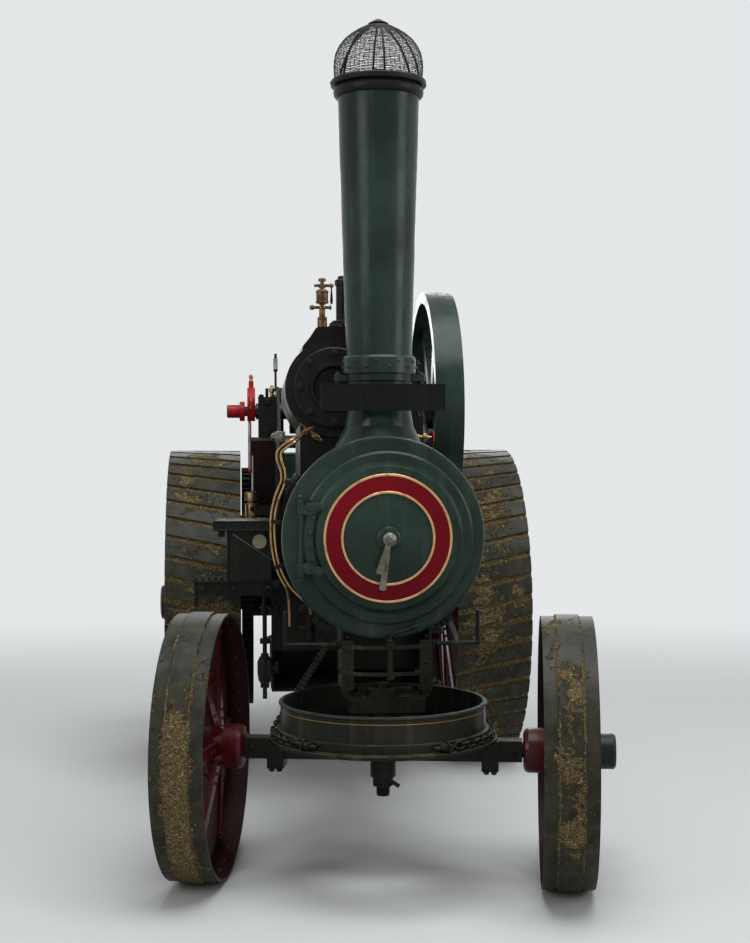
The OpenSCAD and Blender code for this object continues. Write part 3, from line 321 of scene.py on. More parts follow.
# %% Metals
def bare_metal(name, bright, tarnish, rough, share, size=22, grain=0.15):
    """A metal that is partly bright and partly tarnished."""
    f = Finish(name)
    dull = f.ramp(f.noise(size, 6, 0.65, 0.3), 0.62 - share * 0.4, 0.80 - share * 0.2)
    fine = f.noise(size * 9, 3, 0.6)
    colour = f.mix(dull, bright, tarnish)
    colour = f.mix(f.ramp(fine, 0.60, 0.80, 0, 0.5), colour, tarnish)
    shine = f.plus(f.ramp(fine, 0.2, 0.8, rough - 0.07, rough + 0.1), f.times(dull, 0.28))
    return f.done(colour, shine, f.ramp(dull, 0, 1, 1.0, 0.75), f.bumpy(fine, grain, 0.0008))

brass = bare_metal("brass", (0.40, 0.255, 0.110), (0.13, 0.075, 0.032), 0.28, 0.5)
old_brass = bare_metal("old_brass", (0.165, 0.102, 0.042), (0.050, 0.030, 0.014), 0.34, 0.7)
edge_brass = bare_metal("edge_brass", (0.56, 0.345, 0.175), (0.30, 0.160, 0.075), 0.33, 0.35)
copper = bare_metal("copper", (0.46, 0.215, 0.120), (0.145, 0.070, 0.040), 0.32, 0.5)
steel = bare_metal("bright_steel", (0.30, 0.30, 0.275), (0.100, 0.092, 0.075), 0.34, 0.5, 14)
worn_steel = bare_metal("worn_steel", (0.165, 0.165, 0.130), (0.055, 0.055, 0.042), 0.36, 0.6, 16)
dark_steel = bare_metal("oily_steel", (0.100, 0.098, 0.088), (0.028, 0.026, 0.020), 0.38, 0.65, 12, 0.3)
print("metals:", brass.name, copper.name, steel.name, dark_steel.name)

# %% [markdown]
# ### Iron tyres that have come through a field
# A tyre wears bright grey-green on its outside, while earth and cut grass dry on in patches. The
# pattern is made in the wheel's own directions: it is turned into a frame whose x is the axle, so
# the mud follows the wheel round and lies differently on the tread and in the rim.

# %% Tread and mud
def muddy_iron(name, centre, turn, radius, rim, level, valley=0.0, groove=0.0, heavy=None):
    """Worn iron with dried mud, and maroon paint on the rim's inside, darker there as painted shade.

    valley is the depth in which mud packs between strakes, groove is where a band's edges are, which
    get some mud and a dark line of painted shade for the band's step, and heavy names a part of the
    tread that ran through mud: its direction in y and z, its half width, and how much more mud lies there.
    """
    f = Finish(name)
    wheel = f.mapped(rotation=(0, 0, turn), source=f.mapped(location=tuple(-v for v in centre)))
    x, y, z = f.parts(wheel)
    out = f.length(y, z)
    worn = f.mix(f.ramp(f.noise(11, 5, 0.7), 0.35, 0.7), (0.0105, 0.0120, 0.0074), (0.0410, 0.0425, 0.0270))
    worn = f.mix(f.ramp(f.noise(70, 4, 0.7), 0.50, 0.72, 0, 0.75), worn, (0.028, 0.021, 0.012))
    worn = f.mix(f.ramp(f.noise(5.5, 6, 0.75, 0.4), 0.47, 0.68, 0, 0.7), worn, (0.030, 0.021, 0.011))
    fine = f.noise(150, 3, 0.7)
    earth = f.mix(f.ramp(f.noise(75, 6, 0.9), 0.36, 0.64), (0.016, 0.011, 0.005), (0.205, 0.145, 0.064))
    earth = f.mix(f.ramp(f.noise(210, 3, 0.8), 0.57, 0.64), earth, (0.430, 0.330, 0.150))
    for turned in (0.5, 2.1):
        blades = f.mapped((75, 75, 260), rotation=(turned, turned * 0.7, 0), source=wheel)
        earth = f.mix(f.ramp(f.noise(1.0, 1, 0.5, 0.8, blades), 0.690, 0.715), earth, (0.62, 0.53, 0.29))
    patch = f.plus(f.noise(4.6, 6, 0.7, 0.6), f.times(f.noise(60, 4, 0.8), 0.36))
    if valley:
        patch = f.plus(patch, f.ramp(out, radius - valley * 0.80, radius - valley * 0.15, 0.30, 0.0))
        patch = f.plus(patch, f.ramp(f.maths("ABSOLUTE", x), 0.06, 0.22, 0.045, -0.06))
    # At a band's edges: more mud, and a dark line that is painted shade of the band's small step
    if groove:
        edge = f.maths("ABSOLUTE", f.maths("SUBTRACT", f.maths("ABSOLUTE", x), groove))
        edge_mud_and_shade = f.ramp(edge, 0.002, 0.008, 1.0, 0.0)
        patch = f.plus(patch, f.times(edge_mud_and_shade, 0.16))
        worn = f.mix(f.times(edge_mud_and_shade, 0.75), worn, (0.010, 0.008, 0.005))
    if heavy:
        (hy, hz), half, much = heavy
        faces = f.plus(f.times(y, hy / radius), f.times(z, hz / radius))
        waver = f.times(f.maths("SUBTRACT", f.noise(13, 4, 0.7), 0.5), 0.11)
        band = f.ramp(f.maths("ABSOLUTE", f.plus(x, waver)), half, half + 0.030, 1.0, 0.0)
        patch = f.plus(patch, f.times(f.times(f.ramp(faces, 0.30, 0.92), band), much))
    mud = f.ramp(patch, level, level + 0.05)
    # Below the rim's edge lies its inside: maroon paint in a darker copy, which paints the shade it lies in
    inside = f.ramp(out, radius - rim, radius - rim + 0.0035, 1.0, 0.0)
    mud = f.times(mud, f.maths("SUBTRACT", 1.0, inside))
    paint = f.mix(f.ramp(f.noise(9, 5, 0.6), 0.35, 0.7), (0.0100, 0.0012, 0.0013), (0.0260, 0.0030, 0.0032))
    paint = f.mix(f.ramp(f.noise(45, 4, 0.8), 0.60, 0.74, 0, 0.5), paint, (0.045, 0.032, 0.018))
    colour = f.mix(inside, f.mix(mud, worn, earth), paint)
    lumps = f.times(mud, f.plus(f.noise(60, 5, 0.85), f.times(fine, 0.5)))
    bump = f.bumpy(lumps, 1.0, 0.014, f.bumpy(f.noise(130, 4, 0.6), 0.35, 0.0015))
    return f.done(colour, f.ramp(mud, 0, 1, 0.45, 0.95), 0.0, bump, 0.0, 0.16)

tread = {}
for side, s, way, much in (("left", 1, (-0.90, -0.20), 0.125), ("right", -1, (-0.86, -0.50), 0.27)):
    front_middle = place(s * FRONT_X * cos(STEER), -s * FRONT_X * sin(STEER), FRONT_Z)
    tread["front_rim_" + side] = muddy_iron("front_tyre_" + side, front_middle, STEER, FRONT_R, 0.012, 0.755,
                                            groove=0.050, heavy=(way, 0.040, much))
    tread["rear_rim_" + side] = muddy_iron("rear_tyre_" + side, place(s * REAR_X, REAR_Y, REAR_R), 0,
                                           REAR_R, 0.026, 0.735, valley=0.014)
print("tyres:", ", ".join(tread))

# %% [markdown]
# ## How pieces are made
# Nearly all that is added is round, bent or bolted on. So the lesson needs few tools: a profile
# that is spun like work in a lathe, a bar that is bent along a line, a block with eased edges,
# and small shapes, such as a rivet or a nut, that are drawn once and set down many times. All of
# them draw on one sheet, and a piece takes the sheet off the bench with all that is on it.

# %% Placing and keeping shapes
class Bench:
    """The sheet that is drawn on. Taking it off lays out a new one."""
    def __init__(self):
        self.bm = bmesh.new()
    def take(self):
        drawn, self.bm = self.bm, bmesh.new()
        return drawn

bench, made = Bench(), {}

def across(at, direction=UP, spin=0.0, size=1.0):
    """Where a shape drawn along +Z goes: at a point, along a direction, turned and sized."""
    turn = Vector(direction).to_track_quat("Z", "Y").to_matrix().to_4x4()
    return Matrix.Translation(at) @ turn @ Matrix.Rotation(spin, 4, "Z") @ Matrix.Scale(size, 4)

def shape():
    """Keeps the drawn shape, so that it can be set down many times."""
    bm = bench.take()
    bmesh.ops.recalc_face_normals(bm, faces=bm.faces)
    data = bpy.data.meshes.new("shape")
    bm.to_mesh(data)
    bm.free()
    return data

def add(data, *matrices):
    """Sets a kept shape down at each matrix."""
    for matrix in matrices:
        data.transform(matrix)
        bench.bm.from_mesh(data)
        data.transform(matrix.inverted())

def piece(name, finish, body="engine", angle=35):
    """Makes all that is drawn a piece of the engine. It rides on a body, unless that is None."""
    bm = bench.take()
    bmesh.ops.remove_doubles(bm, verts=bm.verts, dist=1e-5)
    bmesh.ops.recalc_face_normals(bm, faces=bm.faces)
    for face in bm.faces:
        face.smooth = True
    data = bpy.data.meshes.new(name)
    bm.to_mesh(data)
    bm.free()
    data.set_sharp_from_angle(angle=radians(angle))
    data.materials.append(finish)
    obj = bpy.data.objects.new(name, data)
    scene.collection.objects.link(obj)
    if body:
        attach(obj, body)
    made[name] = obj
    return obj

rear_end = across(place(REAR_X, REAR_Y, REAR_R)).translation
print("the rear axle's end in the shared frame:", [round(v, 3) for v in rear_end])

# %% A lathe, a bender and a planer
def spun(points, at, axis=UP, steps=32):
    """A turned shape, from points of radius and height along the axis."""
    bm, m = bench.bm, across(at, axis)
    verts = [bm.verts.new(m @ by(r, 0, h)) for r, h in points]
    edges = [bm.edges.new(pair) for pair in zip(verts, verts[1:])]
    bmesh.ops.spin(bm, geom=verts + edges, cent=m.translation, axis=m.to_3x3() @ Vector(UP),
                   angle=2 * pi, steps=steps, use_merge=True)

def bend(points, steps=5):
    """A smooth line through points."""
    p = [Vector(points[0])] + [Vector(q) for q in points] + [Vector(points[-1])]
    line = []
    for a, b, c, d in zip(p, p[1:], p[2:], p[3:]):
        for t in (i / steps for i in range(steps)):
            line.append(0.5 * (2 * b + (c - a) * t + (2 * a - 5 * b + 4 * c - d) * t ** 2
                               + (3 * b - a - 3 * c + d) * t ** 3))
    return line + [p[-1]]

def tube(points, radius, sides=10):
    """A round bar along a line: a circle is drawn at its start and its edge carried along."""
    bm, line = bench.bm, [Vector(p) for p in points]
    ways = [(b - a).normalized() for a, b in zip(line, line[1:])]
    facing = [ways[0]] + [(a + b).normalized() for a, b in zip(ways, ways[1:])] + [ways[-1]]
    ring = bmesh.ops.create_circle(bm, segments=sides, radius=radius, matrix=across(line[0], facing[0]))
    edges = list({e for v in ring["verts"] for e in v.link_edges})
    bmesh.ops.contextual_create(bm, geom=edges)
    for i in range(1, len(line)):
        grown = bmesh.ops.extrude_edge_only(bm, edges=edges)["geom"]
        fresh = {g for g in grown if isinstance(g, bmesh.types.BMVert)}
        edges = [g for g in grown if isinstance(g, bmesh.types.BMEdge) and set(g.verts) <= fresh]
        turn = facing[i - 1].rotation_difference(facing[i])
        for v in fresh:
            v.co = turn @ (v.co - line[i - 1]) + line[i]
    bmesh.ops.contextual_create(bm, geom=edges)

def eased(edges, soft, segments=2):
    """Takes the sharpness off edges."""
    bmesh.ops.bevel(bench.bm, geom=list(set(edges)), offset=soft, segments=segments, profile=0.5,
                    affect="EDGES", material=-1)

def block(low, high, soft=0.003, at=FOOT):
    """A block with eased edges between two corners, in measured places or a matrix's own."""
    low, high = Vector(low), Vector(high)
    m = Matrix.Translation((low + high) / 2) @ Matrix.Diagonal((*(high - low), 1))
    cube = bmesh.ops.create_cube(bench.bm, size=1, matrix=at @ m)
    eased([e for v in cube["verts"] for e in v.link_edges], soft)

def slab(outline, thick, at):
    """A plate from its outline in the matrix's own x and y, grown along its z."""
    bm = bench.bm
    face = bm.faces.new([bm.verts.new(at @ by(x, y, 0)) for x, y in outline])
    grown = bmesh.ops.extrude_face_region(bm, geom=[face])["geom"]
    step = at.to_3x3() @ by(0, 0, thick)
    bmesh.ops.translate(bm, vec=step, verts=[g for g in grown if isinstance(g, bmesh.types.BMVert)])

print("tools: spun, bend, tube, block, slab")

# %% [markdown]
# ### Rivets and nuts
# A rivet head is half of a flattened ball. A nut is a six-sided bar with its corners turned off,
# on a washer, with the end of its stud standing out. Each is drawn with a radius of 1 and given its
# size when it is set down. There are over a thousand of them, so none has many faces.

# %% Rivet and nuts, drawn once
bm = bench.bm
bmesh.ops.create_uvsphere(bm, u_segments=8, v_segments=6, radius=1)
bmesh.ops.bisect_plane(bm, geom=bm.verts[:] + bm.edges[:] + bm.faces[:], plane_co=(0, 0, 0),
                       plane_no=UP, clear_inner=True)
bmesh.ops.scale(bm, vec=(1, 1, 0.72), verts=bm.verts)
RIVET = shape()

def hex_nut(tall=0.85, stud=1.25, washer=1.45):
    """A nut of radius 1 over its corners, on a washer, with a stud end."""
    bm = bench.bm
    if washer:
        spun([(0, 0), (washer, 0), (washer, 0.13), (washer - 0.1, 0.2), (0, 0.2)], (0, 0, 0), steps=14)
    nut = bmesh.ops.create_cone(bm, cap_ends=True, segments=6, radius1=1, radius2=1, depth=tall,
                                matrix=Matrix.Translation((0, 0, 0.18 + tall / 2)))
    top = [e for v in nut["verts"] for e in v.link_edges if all(w.co.z > 0.1 + tall for w in e.verts)]
    eased(top, 0.1, 1)
    spun([(0.55, tall), (0.55, stud - 0.08), (0.46, stud), (0, stud)], (0, 0, 0), steps=8)
    bmesh.ops.remove_doubles(bm, verts=bm.verts, dist=1e-5)
    return shape()

NUT, LOW_NUT, BOLT = hex_nut(), hex_nut(0.6, 0.95, 0), hex_nut(0.55, 0.5, 1.3)

def around(n, radius, centre, axis, start=0.0, size=0.01, out=False):
    """Matrices spaced on a circle about an axis, facing along the axis or outwards."""
    places = []
    for i in range(n):
        a = radians(start + 360 * i / n)
        ray = Vector(axis).to_track_quat("Z", "Y") @ by(cos(a), sin(a), 0)
        places.append(across(Vector(centre) + ray * radius, ray if out else axis, a, size))
    return places

def row(data, n, start, end, facing, size):
    """A row of a kept shape between two measured places, both ends included."""
    start, end = place(*start), place(*end)
    add(data, *(across(start.lerp(end, i / (n - 1)), facing, 0, size) for i in range(n)))

def one(data, at, facing, spin, size):
    """One kept shape at a measured place."""
    add(data, across(place(*at), facing, spin, size))

print("rivet faces", len(RIVET.polygons), "nut faces", len(NUT.polygons))

# %% [markdown]
# ## The front: door, ring and chimney
# The smokebox door is a pressed dome. The ring on it is red enamel between two polished edges. The
# edges are narrow bands with eased corners, so they are spun about the door's middle. The strap's
# bolts have six-sided heads that stand well out, so they are set down one by one.

# %% Door: polished edges, strap bolts, hinge pins
def dome(r):
    """How far the door stands out in front of the ring at a radius."""
    return 0.056 - 0.018 * (r / 0.27) ** 2

for r0, r1 in ((0.1868, 0.1972), (0.2596, 0.2703)):
    h = 0.0695 + dome(r1)
    spun([(r0, h - 0.006), (r0, h + 0.0015), (r0 + 0.0015, h + 0.003), (r1 - 0.0015, h + 0.003),
          (r1, h + 0.0015), (r1, h - 0.006)], DOOR, FRONT, 72)
piece("door_ring_edges", edge_brass, "smokebox_door")
spun([(0.0505, 0.115), (0.0505, 0.1285), (0.0425, 0.1348), (0.0285, 0.137), (0.0285, 0.143),
      (0.0278, 0.143)], DOOR, FRONT, 40)
add(BOLT, *around(4, 0.0385, DOOR + by(0, -0.1335, 0), FRONT, 20, 0.0055))
piece("door_boss", green, "smokebox_door")

for a, y in ((154.8, 0.105), (164.3, 0.0885), (175.5, 0.0885), (185.4, 0.0885), (195.4, 0.0885),
             (207.2, 0.105)):
    add(BOLT, across(DOOR + radial(a) * 0.325 - by(0, y, 0), FRONT, radians(7 * a), 0.0105))
for low in (-0.15, 0.117):
    block((-0.343, -0.106, low), (-0.26, -0.086, low + 0.033), 0.004, Matrix.Translation(DOOR))
piece("door_strap_bolts", green, "smokebox_door")

pin = place(-0.351, -0.092, BOILER_Z)
for s in (-1, 1):
    end = (0, 0, s)
    spun([(0, 0.1685), (0.0125, 0.1685), (0.0135, 0.171), (0.0135, 0.177), (0.009, 0.182), (0, 0.183)],
         pin, end, 18)
    spun([(0.0085, 0.088), (0.0125, 0.088), (0.0125, 0.098), (0.0085, 0.098)], pin, end, 18)
    add(BOLT, across(pin + by(-0.003, -0.0125, s * 0.154), FRONT, 0.3, 0.006))
piece("door_hinge_pins", green)
print("door pieces:", [n for n in made if n.startswith("door")])

# %% [markdown]
# ### Rivets of the smokebox and chimney
# The smokebox is a rolled plate, riveted to the front ring and along a seam below. The chimney is
# rolled too: its seam runs up the back, and two rows of rivets hold it in its collar. Its foot is
# a saddle, riveted to the smokebox at its sides and back.

# %% Smokebox and chimney rivets
for y in (-0.002, SMOKE_END - 0.022):
    add(RIVET, *around(52, SMOKE_R, AXIS + by(0, y, 0), FRONT, size=0.0085, out=True))
for x in (-0.035, 0.035):
    z = BOILER_Z - (SMOKE_R ** 2 - x ** 2) ** 0.5
    row(RIVET, 9, (x, 0.03, z), (x, SMOKE_END - 0.05, z), DOWN, 0.0085)
piece("smokebox_rivets", green)

saddle = SMOKE_R + 0.0135
for i in range(16):
    a = 2 * pi * (i + 0.5) / 16
    x, y = 0.221 * cos(a), CHIMNEY_Y + 0.221 * sin(a)
    z = (saddle ** 2 - x ** 2) ** 0.5
    if y > -0.012:
        one(RIVET, (x, y, BOILER_Z + z), (x, 0, z), 0, 0.0105)
# Two rows round the chimney's collar, in which no rivet stands right above another
for z, start in ((2.2165, 8.0), (2.193, -7.0)):
    add(RIVET, *around(10, 0.1575, place(0, CHIMNEY_Y, z), UP, start, 0.0088, out=True))
for x in (-0.178, 0.178):
    for y in (-0.022, 0.022):
        one(NUT, (x, CHIMNEY_Y + y, 2.16), UP, 0.5 + y, 0.011)
        one(LOW_NUT, (x, CHIMNEY_Y + y, 2.1345), DOWN, 0.2, 0.011)
piece("chimney_rivets", green)

for i in range(24):
    z = CHIMNEY_Z0 + 0.03 + i * 0.046
    r = CHIMNEY_FOOT_R + (CHIMNEY_TOP_R - CHIMNEY_FOOT_R) * (z - CHIMNEY_Z0) / (CHIMNEY_Z1 - CHIMNEY_Z0)
    one(RIVET, (0, CHIMNEY_Y + r - 0.0005, z), BACK, 0, 0.0065)
piece("chimney_seam_rivets", green)
faces = sum(len(made[n].data.polygons) for n in made if n.endswith("rivets"))
print("faces of the front's rivets:", faces)

# %% [markdown]
# ### Wire net of the spark arrester
# The cage on the chimney keeps sparks in. Behind its bent strips lies a net of thin wire, wound
# round and round and pushed out a little between the strips. A net could be a pattern with holes,
# but real wires cast real shadows and stay sharp, so they are thin bars along rings and arches.

# %% Wire net
random.seed(11)
NET_Z = CHIMNEY_Z1 + 0.075
NET = bend([(0.1865, 0, 0.002), (0.1915, 0, 0.042), (0.19, 0, 0.086), (0.179, 0, 0.13), (0.15, 0, 0.172),
            (0.108, 0, 0.206), (0.058, 0, 0.234)], 4)
ROWS, ARCHES, STEPS = 40, 54, 44

def net_at(share, turn, loose=0.0):
    """A point of the net: how far along its arch, and the turn about the chimney."""
    at = share * (len(NET) - 1)
    i = min(len(NET) - 2, int(at))
    p = NET[i].lerp(NET[i + 1], at - i)
    r = p.x + loose
    return place(r * cos(turn), CHIMNEY_Y + r * sin(turn), NET_Z + p.z)

for i in range(ROWS):
    share = 0.01 + 0.97 * i / (ROWS - 1)
    sway = [random.uniform(-0.01, 0.01) for _ in range(12)]
    shares = [min(0.995, max(0.0, share + sway[k % 12])) for k in range(STEPS)]
    ring = [net_at(shares[k], 2 * pi * k / STEPS, random.uniform(-0.0015, 0.001)) for k in range(STEPS)]
    tube(ring + [ring[0]], 0.0014, 3)
for k in range(ARCHES):
    turn = 2 * pi * k / ARCHES
    tube([net_at(i / 9, turn + random.uniform(-0.02, 0.02), 0.0005) for i in range(10)], 0.001, 3)
net = piece("spark_net", oily, angle=60)
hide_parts("spark_mesh")

for i in range(6):
    a = radians(63 + 60 * i)
    one(BOLT, (0.205 * cos(a), CHIMNEY_Y + 0.205 * sin(a), NET_Z - 0.012), (cos(a), sin(a), 0), 0.4, 0.006)
piece("arrester_bolts", oily)
print("net faces:", len(net.data.polygons))

# %% [markdown]
# ### The plate in front of the chimney
# A plain black plate. It is pressed from thin sheet with a raised rim, and four small screws
# hold it to its two stays.

# %% Plate rim and screws
for x0, z0, x1, z1 in ((-0.262, 2.003, 0.262, 2.0065), (-0.262, 2.1125, 0.262, 2.116),
                       (-0.262, 2.003, -0.2585, 2.116), (0.2585, 2.003, 0.262, 2.116)):
    block((x0, -0.0562, z0), (x1, -0.053, z1), 0.0008)
piece("plate_rim", plate_black)
for x in (-0.07, 0.07):
    row(RIVET, 2, (x, -0.0538, 2.046), (x, -0.0538, 2.073), FRONT, 0.0045)
piece("plate_screws", plate_black)
print("plate rim and screws:", len(made["plate_rim"].data.polygons), "faces")

# %% [markdown]
# ### Inside the smokebox
# When the door swings open, the tube plate shows: the ends of the tubes that carry the hot gas
# through the water, in rows set half a step apart. In front of it the blast pipe points up the
# chimney. Behind the door a second plate takes the heat, so that the door keeps its paint.

# %% Tube ends, blast pipe and baffle
TUBE_PITCH, ROW_PITCH = 0.076, 0.066
tubes = [(TUBE_PITCH * (step + 0.5 * (k % 2)), 0.09 - ROW_PITCH * k)
         for k in range(7) for step in range(-5, 6)]
tubes = [place(x, 0.41, BOILER_Z + z) for x, z in tubes if (x * x + z * z) ** 0.5 < 0.315]
LIP = [(0.0205, 0), (0.0205, 0.006), (0.022, 0.008), (0.0255, 0.008), (0.027, 0.006), (0.027, 0)]
# A black disc just inside each tube end stands for the open tube: painted shade of its bore
SHADED_BORE = [(0.0205, 0.001), (0, 0.001)]
for name, finish, profile in (("tube_ends", oily, LIP), ("tube_mouth_shade", plate_black, SHADED_BORE)):
    for at in tubes:
        spun(profile, at, FRONT, 12)
    piece(name, finish)
foot, mouth = BOILER_Z - SMOKE_R + 0.01, BOILER_Z + 0.17
spun([(0, foot), (0.078, foot), (0.078, foot + 0.022), (0.052, foot + 0.034), (0.052, mouth - 0.06),
      (0.04, mouth), (0.034, mouth), (0.04, mouth - 0.06), (0, mouth - 0.06)],
     place(0, CHIMNEY_Y, 0), steps=28)
piece("blast_pipe", oily)
behind = DOOR + by(0, RING_Y, 0)
spun([(0, 0.028), (0.286, 0.028), (0.288, 0.03), (0.288, 0.032), (0.286, 0.034), (0, 0.034)],
     behind, BACK, 48)
for at in (m.translation for m in around(6, 0.215, behind, BACK, 30)):
    tube([at - by(0, 0.001, 0), at + by(0, 0.03, 0)], 0.009, 8)
    add(NUT, across(at + by(0, 0.033, 0), BACK, 0.3, 0.013))
piece("door_baffle", oily, "smokebox_door")
print("tube ends:", len(tubes))

# %% [markdown]
# ## Cylinder and its fittings
# The cylinder's cover is held by eight studs. It leans by two degrees, because the cylinder points
# at the crankshaft, so its studs are set in the cylinder's own directions. The oil cup on top is
# brass: two cocks with a round body between them, turned like a chess piece.

# %% Cover studs, valve chest, oil cup
MOTION = Matrix.Translation(place(CYL_X, CRANK_Y, CRANK_Z)) @ Matrix.Rotation(-SLOPE, 4, "X")
CHEST = MOTION @ Matrix.Translation((0.38, 0, 0))
for n, r, out, first, kind, size in ((8, 0.155, -0.0298, 0, NUT, 0.0135),
                                     (14, 0.2, 0.0002, 0.5, RIVET, 0.0062)):
    for i in range(n):
        a = 2 * pi * (i + first) / n
        at = by(r * cos(a), CYL_Y0 - CRANK_Y + out, r * sin(a))
        add(kind, MOTION @ across(at, FRONT, 0.3 + a if kind is NUT else 0, size))
piece("cover_studs", olive)

block((-0.002, -1.695, -0.138), (0.016, -1.225, 0.138), 0.005, CHEST)
studs = [(y, z, y * 3) for y in (-1.67, -1.59, -1.51, -1.43, -1.35, -1.25) for z in (-0.118, 0.118)]
studs += [(y, z, z * 9) for y in (-1.67, -1.25) for z in (-0.04, 0.04)]
for y, z, turned in studs:
    add(NUT, CHEST @ across((0.0155, y, z), LEFT, turned, 0.01))
add(NUT, *around(6, 0.0645, place(CYL_X + 0.07, 0.75, CYL_TOP + 0.0205), UP, 20, 0.0078))
for y in (0.59, 0.91):
    row(NUT, 3, (-0.215, y, CYL_TOP - 0.001), (-0.06, y, CYL_TOP - 0.001), UP, 0.0085)
piece("valve_chest_cover", black)

cup = place(-0.221, 0.6, CYL_TOP)
for z, r in ((0.002, 0.0235), (0.026, 0.0225), (0.0985, 0.016), (0.176, 0.016)):
    add(LOW_NUT, across(cup + by(0, 0, z), UP, r * 30, r))
spun([(0, -0.012), (0.008, -0.01), (0.0118, -0.003), (0.0118, 0.003), (0.008, 0.01), (0, 0.012)],
     cup + by(-0.047, 0, 0.089), LEFT, 16)
spun([(0, -0.011), (0.008, -0.009), (0.0112, 0), (0.008, 0.009), (0, 0.011)],
     cup + by(0.043, 0, 0.19), LEFT, 16)
spun([(0.007, 0.033), (0.0105, 0.034), (0.0105, 0.041), (0.0055, 0.043), (0, 0.043)],
     cup + by(0, 0, 0.089), LEFT, 16)
for z in (0.108, 0.157):
    spun([(0.0285, z), (0.03, z + 0.002), (0.03, z + 0.007), (0.0285, z + 0.009)], cup, UP, 24)
piece("oil_cup_cocks", old_brass)
spun([(0, 0.0), (0.0032, 0.002), (0.0036, 0.02), (0.0062, 0.05), (0.0068, 0.066), (0.005, 0.078), (0, 0.081)],
     cup + by(0.043, -0.002, 0.184), DOWN, 14)
piece("oil_cup_handle", oily)
print("studs on the valve chest:", len(studs), "oil cup top at", round(cup.z + 0.223, 3))

# %% [markdown]
# ## Wheels
# A wheel is built up from rolled iron: flat spokes are riveted to a T-shaped ring inside the tyre,
# in two rows that lean towards each other, like a bicycle's. The rivets show this work most. They
# are set round the axle with one function, and the same shape serves both sides by mirroring it.

# %% Rivets and bolts of the wheels
def wheel_frame(front, s):
    """The wheel's own directions: x outwards along the axle, mirrored for the right side."""
    side = Matrix.Diagonal((s, 1, 1, 1))
    if front:
        return (Matrix.Translation(place(0, 0, FRONT_Z)) @ Matrix.Rotation(-STEER, 4, "Z")
                @ Matrix.Translation((s * FRONT_X, 0, 0)) @ side)
    return Matrix.Translation(place(s * REAR_X, REAR_Y, REAR_R)) @ side

def wheel_ray(turn):
    """The direction from the axle at a turn in degrees, from straight up to the back."""
    return by(0, -sin(radians(turn)), cos(radians(turn)))

def on_wheel(data, wheel, spots, size):
    """Sets a shape at spots given as x, radius, turn and direction: 0 inwards, else 1 or -1 along x."""
    for x, r, turn, way in spots:
        facing = by(way, 0, 0) if way else -wheel_ray(turn)
        add(data, wheel @ across(by(x, 0, 0) + wheel_ray(turn) * r, facing, radians(turn), size))

def spoke_rivets(count, lean, feet, ends, spread):
    """Spots on both rows of spokes: at the feet, and at the ends in pairs, a little to each side."""
    spots = []
    for i in range(count):
        way, turn = 1 - 2 * (i % 2), 360 / count * i
        spots += [(way * lean(r), r, turn, way) for r in feet]
        spots += [(way * x, r, turn + d, way) for x, r in ends for d in (-spread, spread)]
    return spots

STRAKES, STRAKE_LEAN = 48, radians(12.5)
for side, s in (("left", 1), ("right", -1)):
    # Front: two rows in the rim, rivets in the spokes, a small plug in the cap
    w, body = wheel_frame(True, s), "front_wheel_" + side
    axle = w.to_3x3() @ Vector(LEFT)
    spots = [(x, FRONT_R - 0.0121, 10 * (i + 0.5), 0) for i in range(36) for x in (-0.062, 0.062)]
    spots += spoke_rivets(12, lambda r: 0.0805 - 0.1157 * (r - 0.06), (0.125, 0.165), [(0.0262, 0.527)], 1.6)
    on_wheel(RIVET, w, spots, 0.0088)
    piece(f"front_{side}_rivets", maroon, body)
    spun([(0, 0.202), (0.0075, 0.202), (0.0085, 0.2035), (0.0085, 0.206), (0.0045, 0.2065),
          (0.004, 0.204), (0, 0.2038)], w.translation, axle, 20)
    on_wheel(BOLT, w, [(0.1995, 0.052, 90 * k + 45, 1) for k in range(4)], 0.0055)
    spun([(0.073, 0.118), (0.0738, 0.119), (0.0738, 0.194), (0.0662, 0.2034), (0, 0.2035)],
         w.translation, axle, 40)
    piece(f"front_{side}_cap", cap_blue, body)
    # Rear: rivets through the strakes' ends, spokes and T rings, and studs round the cap
    w, body = wheel_frame(False, s), "rear_wheel_" + side
    axle = w.to_3x3() @ Vector(LEFT)
    spots = spoke_rivets(16, lambda r: 0.1798 - 0.0781 * (r - 0.1), (0.19, 0.235),
                         [(0.1207, 0.845), (0.1207, 0.872)], 1.3)
    spots += [(x, 0.8883, 360 * (i + 0.5) / STRAKES - 0.16 * x, 0) for i in range(STRAKES)
              for x in (-0.15, -0.045, 0.045, 0.15)]
    on_wheel(RIVET, w, spots, 0.01)
    piece(f"rear_{side}_rivets", maroon, body)
    on_wheel(NUT, w, [(0.217, 0.128, 60 * k + 30, 1) for k in range(6)], 0.015)
    piece(f"rear_{side}_hub_nuts", oily, body)
    spun([(0.1, 0.23), (0.1012, 0.231), (0.101, 0.2662), (0.0806, 0.2733), (0, 0.2734)],
         w.translation, axle, 40)
    piece(f"rear_{side}_cap", cap_blue, body)
    # Spud holes: one or two black eyelets on every third strake, whose dark bottom is painted shade of the
    # hole
    for i in range(0, STRAKES, 3):
        for x in (0.035, 0.145) if i % 2 else (-0.045,):
            turn = 360 * i / STRAKES + 180 + degrees(atan2(-x * tan(STRAKE_LEAN), REAR_R))
            m = w @ across(by(x, 0, 0) + wheel_ray(turn) * (REAR_R - 0.0012), wheel_ray(turn))
            spun([(0.0135, 0.0005), (0.013, 0.0014), (0.0112, 0.0014), (0.0104, 0.0009), (0, 0.0007)],
                 m.translation, m.to_3x3() @ Vector(UP), 12)
    piece(f"rear_{side}_spud_holes", plate_black, body)
print("wheel pieces:", [n for n in made if n.startswith(("front_", "rear_"))])

# %% [markdown]
# ## Steering
# The front axle is pulled round by two chains. Each is hooked to an eyebolt on the turntable ring,
# lies round the ring's side and runs back to a roller under the boiler. One link is a ring that is
# pulled long. It is set down along the chain's line, every other one turned by a quarter.

